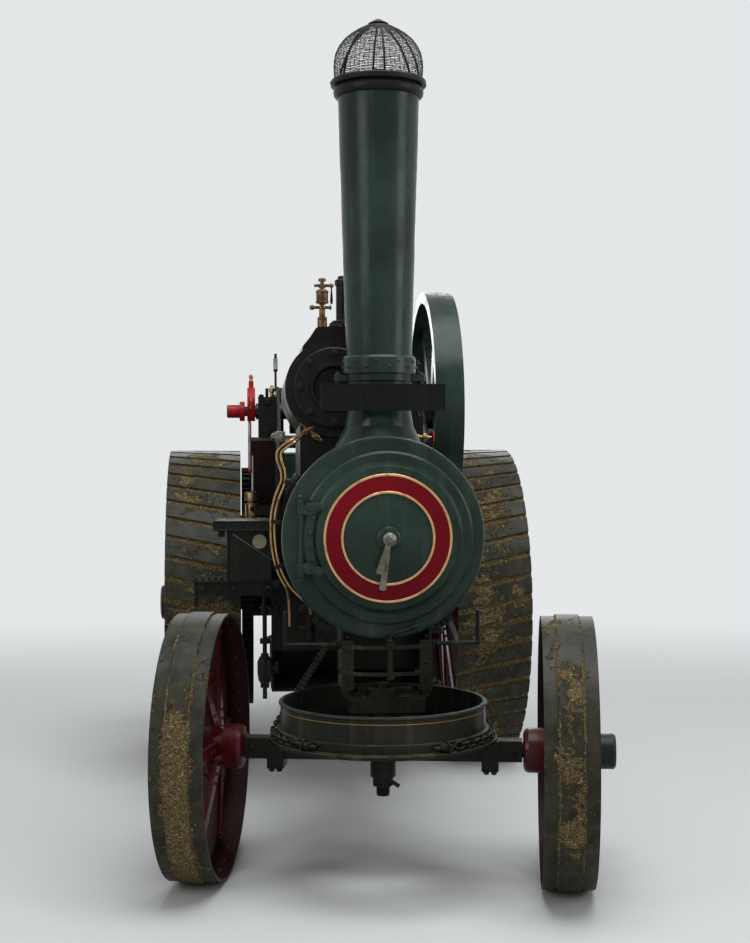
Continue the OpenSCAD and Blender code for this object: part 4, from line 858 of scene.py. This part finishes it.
# %% Chain links on their line
RING_LINE, LINK_PITCH = 0.465, 0.0345
spun([(0.0125 + 0.005 * cos(2 * pi * i / 6), 0.005 * sin(2 * pi * i / 6)) for i in range(7)],
     (0, 0, 0), steps=12)
for v in bench.bm.verts:
    v.co.x += 0.0095 if v.co.x > 0 else -0.0095
bmesh.ops.remove_doubles(bench.bm, verts=bench.bm.verts, dist=1e-6)
LINK = shape()

def chain_line(s):
    """From the lug round the ring's side, and straight to the roller."""
    start, end = radians(-46.5) - s * STEER, radians(11)
    turns = [start + (end - start) * i / 24 for i in range(25)]
    line = [place(s * RING_LINE * cos(a), RING_LINE * sin(a), 0.65) for a in turns]
    line[-1].z += 0.006
    return line + [place(s * 0.15, 1.42, 0.835)]

def walk(line, pitch):
    """Points and directions at even steps along a line."""
    spots, need = [], pitch / 2
    for a, b in zip(line, line[1:]):
        length = (b - a).length
        while need <= length:
            spots.append((a.lerp(b, need / length), (b - a).normalized()))
            need += pitch
        need -= length
    return spots

for s in (1, -1):
    for i, (at, way) in enumerate(walk(chain_line(s), LINK_PITCH)):
        turn = way.to_track_quat("X", "Z").to_matrix().to_4x4()
        add(LINK, Matrix.Translation(at) @ turn @ Matrix.Rotation(radians(40 + 90 * (i % 2)), 4, "X"))
chains = piece("chain_links", oily, None)
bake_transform(chains)
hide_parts("steering_chains")
print("chain links:", len(chains.data.polygons) // len(LINK.polygons))

# %% Turntable: eyebolts, bands, rivets and axle clips
TURN = Matrix.Translation(place(0, 0, 0)) @ Matrix.Rotation(-STEER, 4, "Z")

def on_ring(r, angle, z):
    """A point on the turntable, which turns with the axle."""
    a = radians(angle)
    return TURN @ by(r * cos(a), r * sin(a), z)

def from_ring(data, r, angle, z, spin, size):
    """One kept shape on the ring's side, facing outwards."""
    add(data, across(on_ring(r, angle, z), on_ring(1, angle, 0) - on_ring(0, angle, 0), spin, size))

for s, a in ((1, -50.5), (-1, 230.5)):
    tangent = (on_ring(1, a - s, 0.65) - on_ring(1, a + s, 0.65)).normalized()
    nose = on_ring(0.461, a, 0.65) + tangent * 0.0112
    add(NUT, across(nose, tangent, 0.2, 0.0195))
    add(LOW_NUT, across(nose + tangent * 0.017, tangent, 0.6, 0.018))
    thread = [(0.0098 - 0.0014 * (k % 2), 0.03 + 0.0028 * k) for k in range(13)]
    spun([(0, 0.03)] + thread + [(0, 0.066)], nose, tangent, 10)
    # The shackle between the eyebolt and the first link
    loop = ((-0.02, 0), (-0.04, 0.0), (-0.052, 0.014), (-0.07, 0.015), (-0.082, 0), (-0.07, -0.015),
            (-0.052, -0.014), (-0.04, 0))
    tube(bend([nose + tangent * q + by(0, 0, z) for q, z in loop], 3), 0.0065, 8)
    for turn in (4.5, 13.5):
        from_ring(BOLT, 0.451, a + s * turn, 0.648, 0.3, 0.0085)
piece("chain_eyebolts", oily, "steering_axle")

spun([(0.433, 0.7476), (0.43435, 0.748), (0.43428, 0.751), (0.433, 0.7514)], place(0, 0, 0), steps=96)
piece("ring_gilt_line", gilt, "steering_axle")
spun([(0.4405, 0.7705), (0.4418, 0.7712), (0.4402, 0.7788), (0.439, 0.7798), (0.4235, 0.7798),
      (0.4225, 0.779)], place(0, 0, 0), steps=96)
piece("ring_top_band", cap_blue, "steering_axle")

add(RIVET, *around(30, 0.4685, place(0, 0, 0.6305), UP, 3, 0.0075))
for a in (-128, -120, -62, -54, -30, -150, 30, 75, 105, 150):
    for z in (0.6425, 0.6605):
        from_ring(RIVET, 0.4498, a, z, 0, 0.0048)
for x, spin in ((0.47, 7), (0.438, 5)):
    for s in (-1, 1):
        for y in (-0.046, 0.046):
            add(NUT, across(TURN @ by(s * x, y, 0.4905), DOWN, y * spin, 0.0125))
piece("turntable_rivets", olive, "steering_axle")

for x in (0.3, 0.34, 0.558):
    for s in (-1, 1):
        add(RIVET, across(TURN @ by(s * x, -0.0398, 0.572), TURN.to_3x3() @ Vector(FRONT), 0, 0.01))
piece("axle_rivets", oily, "steering_axle")
thread = [(0.0275 + 0.0015 * (k % 2), 0.114 + 0.0025 * k) for k in range(11)]
spun(thread + [(0.0275, 0.1475)], place(0, 0, 0.52), DOWN, 24)
for z, r in ((0.518, 0.056), (0.4465, 0.045)):
    one(LOW_NUT, (0, 0, z), DOWN, 0.25, r)
piece("kingpin_nuts", oily)
steering = ("chain", "ring", "turntable", "axle", "kingpin")
print("steering pieces:", [n for n in made if n.startswith(steering)])

# %% [markdown]
# ### Perch bracket
# The bracket under the smokebox is a bent strap with two bowed straps across it and a long pin. The
# bent bar above the pin is a handle. Its end is drawn out thin, as a smith does it.

# %% Perch bracket: bolts and bent handle
PERCH_X = 0.013
for x in (-0.113, 0.148):
    for y in (-0.03, 0.12):
        one(NUT, (x, y, 0.7968), UP, x * 9, 0.015)
for s, way in ((-1, RIGHT), (1, LEFT)):
    for z in (0.868, 0.942, 1.052, 1.088):
        one(RIVET, (PERCH_X + s * 0.166, -0.0503, z), FRONT, 0, 0.0075)
    for z in (0.9, 1.012):
        one(BOLT, (PERCH_X + s * 0.194, 0.01, z), way, z, 0.0105)
    one(LOW_NUT, (PERCH_X + s * 0.194, -0.02, 1.018), way, 0.2, 0.0185)
    one(LOW_NUT, (PERCH_X + s * 0.212, -0.02, 1.018), way, 0.5, 0.0165)
one(LOW_NUT, (0.022, -0.103, 1.031), UP, 0.4, 0.02)
piece("perch_bolts", black)
tube(bend(placed((0.022, -0.103, 1.036), (0.022, -0.103, 1.046), (0.03, -0.104, 1.06),
                 (0.052, -0.105, 1.074), (0.085, -0.104, 1.084), (0.112, -0.102, 1.092))), 0.006)
spun([(0.006, 0), (0.0085, 0.004), (0.0075, 0.02), (0.004, 0.034), (0, 0.036)],
     place(0.11, -0.1022, 1.0914), (0.025, 0.0022, 0.0096), 12)
piece("perch_handle", black)
# Feet of the front ring, each held by three nuts
for s in (-1, 1):
    for k in range(3):
        a = -90 + s * (32 + 3.4 * k)
        add(NUT, across(AXIS + radial(a) * 0.443 - by(0, 0.01, 0), FRONT, radians(a) * 3, 0.0125))
    turn = Matrix.Translation(AXIS) @ Matrix.Rotation(radians(90 - s * 35.4), 4, "Y")
    block((0.402, -0.01, -0.04), (0.462, 0.012, 0.04), 0.004, turn)
piece("ring_feet", black)
print("bracket pieces:", [n for n in made if n.startswith(("perch", "ring_feet"))])

# %% [markdown]
# ## Pump, box and pipes on the right side
# The boiler's feed pump stands beside the right hornplate. Its rod hangs from an eccentric on the
# crankshaft and is painted red. A gland with a six-sided nut keeps the ram tight. In front of
# the wheel is a tool box with a sheet lid. Thin brass pipes drain the cylinder, bent by hand.

# %% Pump and crankshaft end
PUMP, CRANK = place(PUMP_X, CRANK_Y, 0), place(0, CRANK_Y, CRANK_Z)
AT_PUMP = Matrix.Translation(PUMP)
hexed = bmesh.ops.create_cone(bench.bm, cap_ends=True, segments=6, radius1=0.041, radius2=0.041, depth=0.04,
                              matrix=AT_PUMP @ across((0, 0, 1.57), UP, 0.25))
eased([e for v in hexed["verts"] for e in v.link_edges], 0.003)
spun([(0.0205, 1.589), (0.0205, 1.597), (0.0125, 1.601), (0.0085, 1.601)], PUMP + by(0.008, 0, 0), steps=20)
for a in (2.4, 5.5):
    add(NUT, across(PUMP + by(0.03 * cos(a), 0.03 * sin(a), 1.591), UP, a, 0.0075))
piece("pump_gland", dark_steel)
for z in (1.452, 1.528):
    spun([(0.0365, z - 0.004), (0.0395, z - 0.002), (0.0395, z + 0.002), (0.0365, z + 0.004)], PUMP, steps=28)
spun([(0, 0.03), (0.012, 0.03), (0.012, 0.041), (0.008, 0.044), (0, 0.044)], PUMP + by(0, 0, 1.47), FRONT, 18)
add(LOW_NUT, across(PUMP + by(0, -0.036, 1.47), FRONT, 0.1, 0.0145))
feed = ((-0.03, 0.006, 1.462), (-0.05, 0.01, 1.458), (-0.058, 0.012, 1.44), (-0.056, 0.014, 1.3),
        (-0.03, 0.06, 1.16))
tube(bend([PUMP + Vector(p) for p in feed]), 0.0085)
piece("pump_fittings", brass)
spun([(0.009, 1.59), (0.009, 1.8), (0.0075, 1.802), (0, 1.802)], PUMP + by(0.008, 0, 0), steps=16)
piece("pump_ram", steel)
block((-0.0185, -0.015, CRANK_Z - 0.345), (0.0005, 0.015, CRANK_Z - 0.06), 0.007, AT_PUMP)
piece("pump_rod_sleeve", steel, "pump_eccentric_rod")
# A black plate stands for a small window in the pump's front: painted shade of the opening
block((-0.01, -0.0395, 1.49), (0.014, -0.0335, 1.514), 0.002, AT_PUMP)
piece("pump_window", plate_black)

strap = PUMP + by(0, 0, CRANK_Z + 0.04)
for y in (-0.093, 0.093):
    block((-0.017, y - 0.0125, -0.017), (0.017, y + 0.0125, 0.017), 0.004, Matrix.Translation(strap))
piece("pump_strap_lugs", scarlet, "pump_eccentric_rod")
for y in (-0.094, 0.094):
    for way in (DOWN, UP):
        add(NUT, across(strap + by(0, y, way[2] * 0.0168), way, 0.4, 0.009))
spun([(0, 0.128), (0.0105, 0.128), (0.0105, 0.15), (0.013, 0.152), (0.013, 0.158), (0.009, 0.166),
      (0.004, 0.168), (0, 0.172)], strap, steps=18)
piece("pump_strap_cup", brass, "pump_eccentric_rod")
spun([(0.0368, 0.602), (0.0372, 0.603), (0.0372, 0.669), (0.0315, 0.6755), (0, 0.6762)], CRANK, RIGHT, 28)
spun([(0.03, 0.5745), (0.0552, 0.575), (0.0552, 0.602), (0.0372, 0.6045)], CRANK, RIGHT, 32)
piece("crank_end_cap", scarlet, "crank_and_flywheel")
print("pump pieces:", [n for n in made if n.startswith("pump")])

# %% Box, lid, shelf and the rod beside the crank
for z in (1.4195, 1.4645):
    tube(placed((-0.745, 1.4795, z), (-0.6, 1.4795, z), (-0.421, 1.4795, z)), 0.0042, 8)
block((-0.5895, 1.4775, 1.4175), (-0.5865, 1.805, 1.4675), 0.001)
for x in (-0.7, -0.48):
    block((x - 0.022, 1.49, 1.4655), (x + 0.022, 1.8, 1.47), 0.0015)
    block((x - 0.018, 1.4925, 1.385), (x + 0.018, 1.499, 1.4185), 0.002)
    row(RIVET, 2, (x, 1.4927, 1.393), (x, 1.4927, 1.409), FRONT, 0.0045)
for x in (-0.6655, -0.4465):
    block((x - 0.0065, 1.4965, 1.158), (x + 0.0065, 1.5035, 1.418), 0.002)
    row(RIVET, 7, (x, 1.4968, 1.172), (x, 1.4968, 1.4), FRONT, 0.0042)
row(RIVET, 9, (-0.655, 1.4998, 1.166), (-0.457, 1.4998, 1.166), FRONT, 0.0042)
piece("box_trim", black)
for x, z in ((-0.793, 1.114), (-0.71, 1.114), (-0.633, 1.119)):
    one(BOLT, (x, 1.5198, z), FRONT, x * 9, 0.0135)
row(NUT, 5, (-0.833, 1.545, 1.157), (-0.7, 1.545, 1.157), UP, 0.0105)
block((-0.846, 1.53, 1.02), (-0.822, 1.545, 1.15), 0.003)
row(RIVET, 4, (-0.834, 1.5298, 1.035), (-0.834, 1.5298, 1.135), FRONT, 0.0055)
piece("shelf_bolts", black)
spun([(0, -0.0225), (0.029, -0.0225), (0.03, -0.0245), (0.0355, -0.0245), (0.0365, -0.0225),
      (0.0365, -0.012)], place(-0.503, 1.4655, 1.362), BACK, 32)
piece("box_disc", cream)
# The box's back flange on the hornplate
block((-0.446, 1.69, 1.09), (-0.398, 1.702, 1.5), 0.002)
row(RIVET, 8, (-0.42, 1.6898, 1.11), (-0.42, 1.6898, 1.48), FRONT, 0.006)
piece("box_flange", black)
tube(placed((-0.64, 1.484, 1.4), (-0.53, 1.478, 1.325), (-0.438, 1.484, 1.265), (-0.415, 1.56, 1.245)),
     0.0014, 6)
piece("box_wire", steel)
# The brake's spindle with its steel collar, and the crank bearing's oil cup and bolts
spindle = place(-0.402, 2.15, 0)
spun([(0, 2.165), (0.011, 2.165), (0.011, 2.176), (0.0065, 2.18), (0.0065, 2.272), (0.013, 2.276),
      (0.013, 2.284), (0.0095, 2.288), (0.0095, 2.352), (0.0075, 2.356), (0.0075, 2.374), (0, 2.376)],
     spindle, steps=18)
piece("brake_spindle", oily)
spun([(0.0092, 2.286), (0.0125, 2.288), (0.0125, 2.346), (0.0092, 2.348)], spindle, steps=20)
piece("spindle_collar", steel)
spun([(0, 0), (0.012, 0), (0.012, 0.022), (0.016, 0.025), (0.016, 0.046), (0.01, 0.052), (0.01, 0.06),
      (0.006, 0.064), (0, 0.064)], place(-0.424, 2.12, 2.132), steps=18)
piece("bearing_oil_cup", brass)
for z in (2.102, 1.936):
    one(BOLT, (-0.4495, 2.1085, z), FRONT, z, 0.017)
for x in (-0.482, -0.418):
    for y, spin in ((2.15, 5), (2.25, 3)):
        one(NUT, (x, y, 2.129), UP, x * spin, 0.014)
piece("bearing_bolts", oily)
print("box and spindle:", [n for n in made if n.startswith(("box", "shelf", "brake", "spindle", "bearing"))])

# %% Brass pipes and cocks
# Each pipe leaves the cylinder and comes down in an upright plane, where its line is drawn as x and z
INNER = [(-0.363, 1.876), (-0.397, 1.854), (-0.424, 1.829), (-0.425, 1.795), (-0.41, 1.75), (-0.408, 1.712),
         (-0.418, 1.676), (-0.433, 1.64), (-0.445, 1.6), (-0.452, 1.561), (-0.455, 1.497), (-0.451, 1.433),
         (-0.44, 1.369), (-0.419, 1.308), (-0.386, 1.252), (-0.338, 1.203)]
OUTER = [(-0.372, 1.886), (-0.412, 1.862), (-0.441, 1.832), (-0.442, 1.795), (-0.427, 1.752), (-0.424, 1.714),
         (-0.435, 1.682), (-0.45, 1.645), (-0.461, 1.603), (-0.468, 1.561), (-0.47, 1.497), (-0.467, 1.433),
         (-0.455, 1.365), (-0.434, 1.302), (-0.408, 1.256)]
PIPE_R = 0.0058
for line, y in ((INNER, 0.056), (OUTER, 0.074)):
    start = placed((-0.29, 0.3, 1.93), (-0.32, 0.2, 1.915))
    tube(bend(start + [place(x, y, z) for x, z in line], 4), PIPE_R)
tube(bend(placed((-0.434, 0.074, 1.302), (-0.408, 0.08, 1.256), (-0.395, 0.1, 1.2),
                 (-0.39, 0.12, 1.08))), PIPE_R)
tube(bend(placed((-0.338, 0.056, 1.203), (-0.308, 0.076, 1.173), (-0.298, 0.116, 1.133))), PIPE_R)
pipe = piece("drain_pipes", brass)
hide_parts("pipes")
for a in (150, 172, 196, 222):
    m = Matrix.Translation(AXIS) @ Matrix.Rotation(-radians(a), 4, "Y")
    block((0.3985, 0.046, -0.009), (0.476, 0.049, 0.009), 0.001, m)
    add(NUT, across(AXIS + radial(a) * 0.409 + by(0, 0.0465, 0), FRONT, a, 0.0058))
piece("pipe_clips", black)
# Two cocks on the cylinder's underside, each with its plug and lever
for x, z, turn in ((-0.3, 1.925, 0.5), (-0.262, 1.9, -0.7)):
    at = place(x, 0.392, z)
    spun([(0, -0.03), (0.008, -0.03), (0.008, -0.016), (0.014, -0.013), (0.014, 0.013), (0.009, 0.016),
          (0.009, 0.034), (0, 0.034)], at, (cos(turn), 0.3, sin(turn)), 16)
    spun([(0, -0.022), (0.0075, -0.022), (0.0095, 0), (0.0095, 0.018), (0.006, 0.022), (0, 0.022)],
         at, (0, -1, 0.2), 14)
    tube([at + by(0, -0.022, 0.004), at + by(-0.03, -0.03, 0.03)], 0.0036, 8)
# The blower's valve on the left of the smokebox
base = place(0.175, 0.24, 1.893)
spun([(0, -0.012), (0.011, -0.012), (0.013, -0.006), (0.013, 0.01), (0.0085, 0.014), (0.0085, 0.024),
      (0.015, 0.027), (0.015, 0.038), (0.009, 0.042), (0.009, 0.05), (0.0045, 0.053), (0.0045, 0.076),
      (0, 0.076)], base, LEFT, 18)
tube(bend(placed((0.178, 0.24, 1.894), (0.178, 0.242, 1.87), (0.176, 0.246, 1.83))), 0.0085)
add(LOW_NUT, across(base + by(0.026, 0, 0), LEFT, 0.3, 0.0185))
piece("brass_cocks", brass)
hub = base + by(0.072, 0, 0)
spun([(0.0215 + 0.0042 * cos(2 * pi * i / 8), 0.0042 * sin(2 * pi * i / 8)) for i in range(9)], hub, LEFT, 24)
spun([(0, -0.005), (0.008, -0.005), (0.008, 0.005), (0, 0.006)], hub, LEFT, 16)
for k in range(4):
    a = pi * k / 2 + 0.4
    spoke = by(0, cos(a), sin(a))
    tube([hub + spoke * 0.006, hub + spoke * 0.021], 0.003, 8)
piece("blower_wheel", scarlet)
print("pipes and cocks:", [n for n in made if n.startswith(("drain", "pipe", "brass", "blower"))])

# %% [markdown]
# ## Firebox, backhead and tender
# The side plates aren't bolted to the boiler. They are the firebox's own outer sheets, carried on
# upwards to hold the shafts, so rows of stays and rivets run over their lower part. The tender is
# thin sheet on angle iron: its rivets show where the angles lie inside, and a half-round beading
# stiffens its top edge. Rows of one kept rivet are enough for all of this.

# %% Rows of rivets
def rows(x, way, size, *rows_of):
    """Rows of rivets on both sides, facing out or back: how many, then y and z of both ends."""
    for s in (-1, 1):
        facing = BACK if way == BACK else (s, 0, 0)
        for n, y0, z0, y1, z1 in rows_of:
            row(RIVET, n, (s * x, y0, z0), (s * x, y1, z1), facing, size)

rows(HORNPLATE_X, LEFT, 0.0085, *((6, 1.86, 0.89 + 0.1 * i, 2.36, 0.89 + 0.1 * i) for i in range(7)),
     (17, 1.772, 0.82, 1.772, 1.66), (13, 1.81, 0.812, 2.43, 0.812), (12, 2.425, 0.86, 2.425, 1.52),
     (8, 2.62, 0.722, 3.03, 0.722))
row(RIVET, 6, (-0.42, 1.755, 0.8), (-0.42, 1.755, 1.07), FRONT, 0.0085)
piece("stays_and_rivets", black)

rows(TENDER_X, LEFT, 0.0075, (17, 2.95, 0.585, 3.9, 0.585), (17, 2.95, 0.995, 3.9, 0.995),
     (20, 3.932, 0.6, 3.932, 1.765), (6, 3.36, 1.05, 3.36, 1.36))
rows(0.356, BACK, 0.0075, (20, 3.96, 0.6, 3.96, 1.765))
for z in (0.585, 0.995):
    row(RIVET, 11, (-0.3, 3.96, z), (0.3, 3.96, z), BACK, 0.0075)
piece("tender_rivets", green)

edge = [(2.884, 1.4), (3.352, 1.42), (3.368, 1.44), (3.416, 1.782), (3.432, 1.8), (3.956, 1.8)]
for x in (-TENDER_X, TENDER_X):
    tube([place(x, y, z) for y, z in edge], 0.012, 8)
tube(placed((-TENDER_X, 3.957, 1.8), (TENDER_X, 3.957, 1.8)), 0.012, 8)
piece("tender_beading", green)

rows(0.436, LEFT, 0.007, (11, 1.82, 0.545, 2.37, 0.545), (11, 1.82, 0.744, 2.37, 0.744))
row(RIVET, 13, (-0.38, 2.4, 0.744), (0.38, 2.4, 0.744), BACK, 0.007)
piece("ashpan_rivets", oily)
print("rows of rivets:", [n for n in made if n.endswith("rivets")])

# %% [markdown]
# ### What the driver has in front of them
# The backhead is the boiler's rear wall. A row of rivets follows its round top, brass plugs close
# the holes for washing out, and a pressure gauge stands on a bent brass pipe. Its face is plain,
# with a needle. The firehole door's bolts are a piece of their own, as they turn with the door.

# %% Backhead, pressure gauge, firehole door
FIREHOLE_Z, CROWN = BOILER_Z - 0.2, 0.31
for i in range(21):
    a = radians(9 * i)
    one(RIVET, (0.352 * cos(a), BACKHEAD_Y, BOILER_Z + CROWN * sin(a)), BACK, 0, 0.0085)
for x in (-0.352, 0.352):
    row(RIVET, 7, (x, BACKHEAD_Y, 1.03), (x, BACKHEAD_Y, 1.42), BACK, 0.0085)
add(RIVET, *around(14, 0.172, place(0, BACKHEAD_Y, FIREHOLE_Z), BACK, size=0.0085))
piece("backhead_rivets", black)

for x, z in ((-0.29, 1.1), (0.29, 1.1), (-0.17, 1.7), (0.17, 1.7)):
    spun([(0, 0), (0.026, 0), (0.026, 0.006), (0.016, 0.008), (0.016, 0.01), (0, 0.01)],
         place(x, BACKHEAD_Y, z), BACK, 16)
    one(LOW_NUT, (x, BACKHEAD_Y + 0.008, z), BACK, x, 0.013)
for s in (-1, 1):
    x = s * 0.24
    for z in (1.405, 1.615):
        one(LOW_NUT, (x, 2.48, z - 0.008), UP, z, 0.021)
        tube(placed((x, BACKHEAD_Y, z), (x, 2.5, z)), 0.009, 8)
        tube(placed((x, 2.5, z), (x, 2.508, z), (s * 0.27, 2.512, z)), 0.004, 6)
gauge = place(-0.105, 2.5, 1.84)
spun([(0, -0.02), (0.048, -0.02), (0.055, -0.014), (0.056, 0.014), (0.05, 0.018), (0.046, 0.014),
      (0.046, 0.011), (0, 0.011)], gauge, BACK, 32)
tube(bend(placed((-0.105, BACKHEAD_Y, 1.715), (-0.105, 2.47, 1.715), (-0.105, 2.488, 1.735),
                 (-0.105, 2.492, 1.79))), 0.006, 8)
piece("backhead_brass", brass)
spun([(0, 0.0115), (0.0455, 0.0115), (0.0455, 0.0125), (0, 0.0125)], gauge, BACK, 32)
piece("gauge_face", cream)
add(LOW_NUT, across(gauge + by(0, 0.0122, 0), BACK, 0, 0.004))
slab([(-0.0016, -0.012), (0.0016, -0.012), (0.0005, 0.036), (-0.0005, 0.036)], 0.001,
     across(gauge + by(0, 0.0132, 0), BACK, 2.6))
piece("gauge_needle", plate_black)

add(RIVET, *around(8, 0.128, place(0, 2.455, FIREHOLE_Z), BACK, 22.5, 0.0075))
for z in (FIREHOLE_Z - 0.016, FIREHOLE_Z + 0.016):
    row(RIVET, 2, (-0.16, 2.46, z), (-0.118, 2.46, z), BACK, 0.007)
piece("firehole_door_bolts", oily, "firehole_door")
print("backhead pieces:", [n for n in made if n.startswith(("backhead", "gauge", "firehole"))])

# %% Drawbar bolts and pin, damper shaft, union
for x in (-0.14, 0.14):
    row(NUT, 2, (x, 3.98, 0.668), (x, 3.98, 0.792), BACK, 0.014)
spun([(0, 0.655), (0.015, 0.655), (0.018, 0.662), (0.018, 0.7715), (0.03, 0.773), (0.03, 0.788),
      (0.02, 0.794), (0, 0.794)], place(0, 4.055, 0), UP, 24)
tube(bend(placed((-0.016, 4.055, 0.788), (-0.03, 4.055, 0.815), (0, 4.055, 0.846), (0.03, 4.055, 0.815),
                 (0.016, 4.055, 0.788))), 0.005, 8)
piece("drawbar_pin", dark_steel)

# The upright shaft beside the firebox works the ashpan's damper through a lever
foot = place(-0.474, 1.732, 0)
spun([(0, 0.5), (0.012, 0.502), (0.012, 0.56), (0.024, 0.562), (0.024, 0.585), (0.034, 0.6),
      (0.04, 0.64), (0.04, 0.7), (0.034, 0.716), (0.02, 0.722), (0.02, 0.742), (0.012, 0.744),
      (0.012, 0.955), (0.021, 0.957), (0.021, 0.985), (0.012, 0.987), (0.012, 1.121), (0, 1.121)],
     foot, UP, 20)
for z in (0.668, 0.971):
    block((-0.46, 1.722, z - 0.014), (-0.402, 1.744, z + 0.014), 0.003)
    block((-0.418, 1.722, z - 0.03), (-0.4, 1.8, z + 0.03), 0.003)
    one(BOLT, (-0.418, 1.778, z), RIGHT, z, 0.011)
slab([(-0.022, -0.03), (0.022, -0.03), (0.022, 0.03), (0.01, 0.1), (0.008, 0.17), (-0.008, 0.17),
      (-0.01, 0.1), (-0.022, 0.03)], 0.012, across(foot + by(0, 0, 0.806), UP, radians(170)))
spun([(0.012, 0.798), (0.026, 0.798), (0.026, 0.826), (0.012, 0.826)], foot, UP, 20)
for z, spin, size in ((0.722, 0.4, 0.022), (0.987, 0.9, 0.02)):
    add(NUT, across(foot + by(0, 0, z), UP, spin, size))
piece("damper_shaft", oily)

block((-0.44, 0.42, 1.872), (-0.398, 0.5, 1.922), 0.006)
one(NUT, (-0.44, 0.46, 1.897), RIGHT, 0.3, 0.018)
one(NUT, (-0.42, 0.42, 1.897), FRONT, 0.2, 0.017)
one(BOLT, (-0.425, 0.485, 1.922), UP, 0.1, 0.008)
piece("pipe_union", worn_steel)
print("pieces so far:", len(made))

# %% [markdown]
# ## Who gets which finish
# The construction pieces keep their shape. Each gets its finish in its own material slots. They
# could be dressed one by one, but a list of names for each finish shows what is painted alike.

# %% Finishes of the construction pieces
painted = {
    green: "door_hinge chimney_base flywheel tender",
    smokebox_green: "smokebox", door_green: "smokebox_door", chimney_green: "chimney_barrel",
    black: "boiler_barrel firebox chimney_cap cylinder_block cylinder_cover hornplates drawbar",
    oily: "ashpan firehole_door spark_arrester spark_mesh safety_valve governor crank_bearings gear_shafts "
          "rear_axle bull_gear front_axle kingpin steering_chains steering_gear",
    plate_black: "number_plate", rough_black: "side_box", olive: "turntable_ring perch_bracket",
    maroon: "rear_hub_left rear_hub_right front_hub_left front_hub_right",
    maroon_in_shade: "gear_guard", enamel: "door_ring", scarlet: "pump_rod",
    steel: "connecting_rod controls", worn_steel: "door_handles",
    dark_steel: "slide_bars crosshead crankshaft eccentric_rod_fore eccentric_rod_back valve_gear",
    brass: "feed_pump", old_brass: "lubricator", copper: "pipes"}
finish_of = {name: finish for finish, names in painted.items() for name in names.split()} | tread

for name, finish in finish_of.items():
    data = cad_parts[name].data
    if not data.materials:
        data.materials.append(finish)
    for i in range(len(data.materials)):
        data.materials[i] = finish
    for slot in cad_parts[name].material_slots:
        slot.material = finish
print("left plain:", sorted(set(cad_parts) - set(finish_of)))
print("dressed", len(finish_of), "construction pieces of", len(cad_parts))
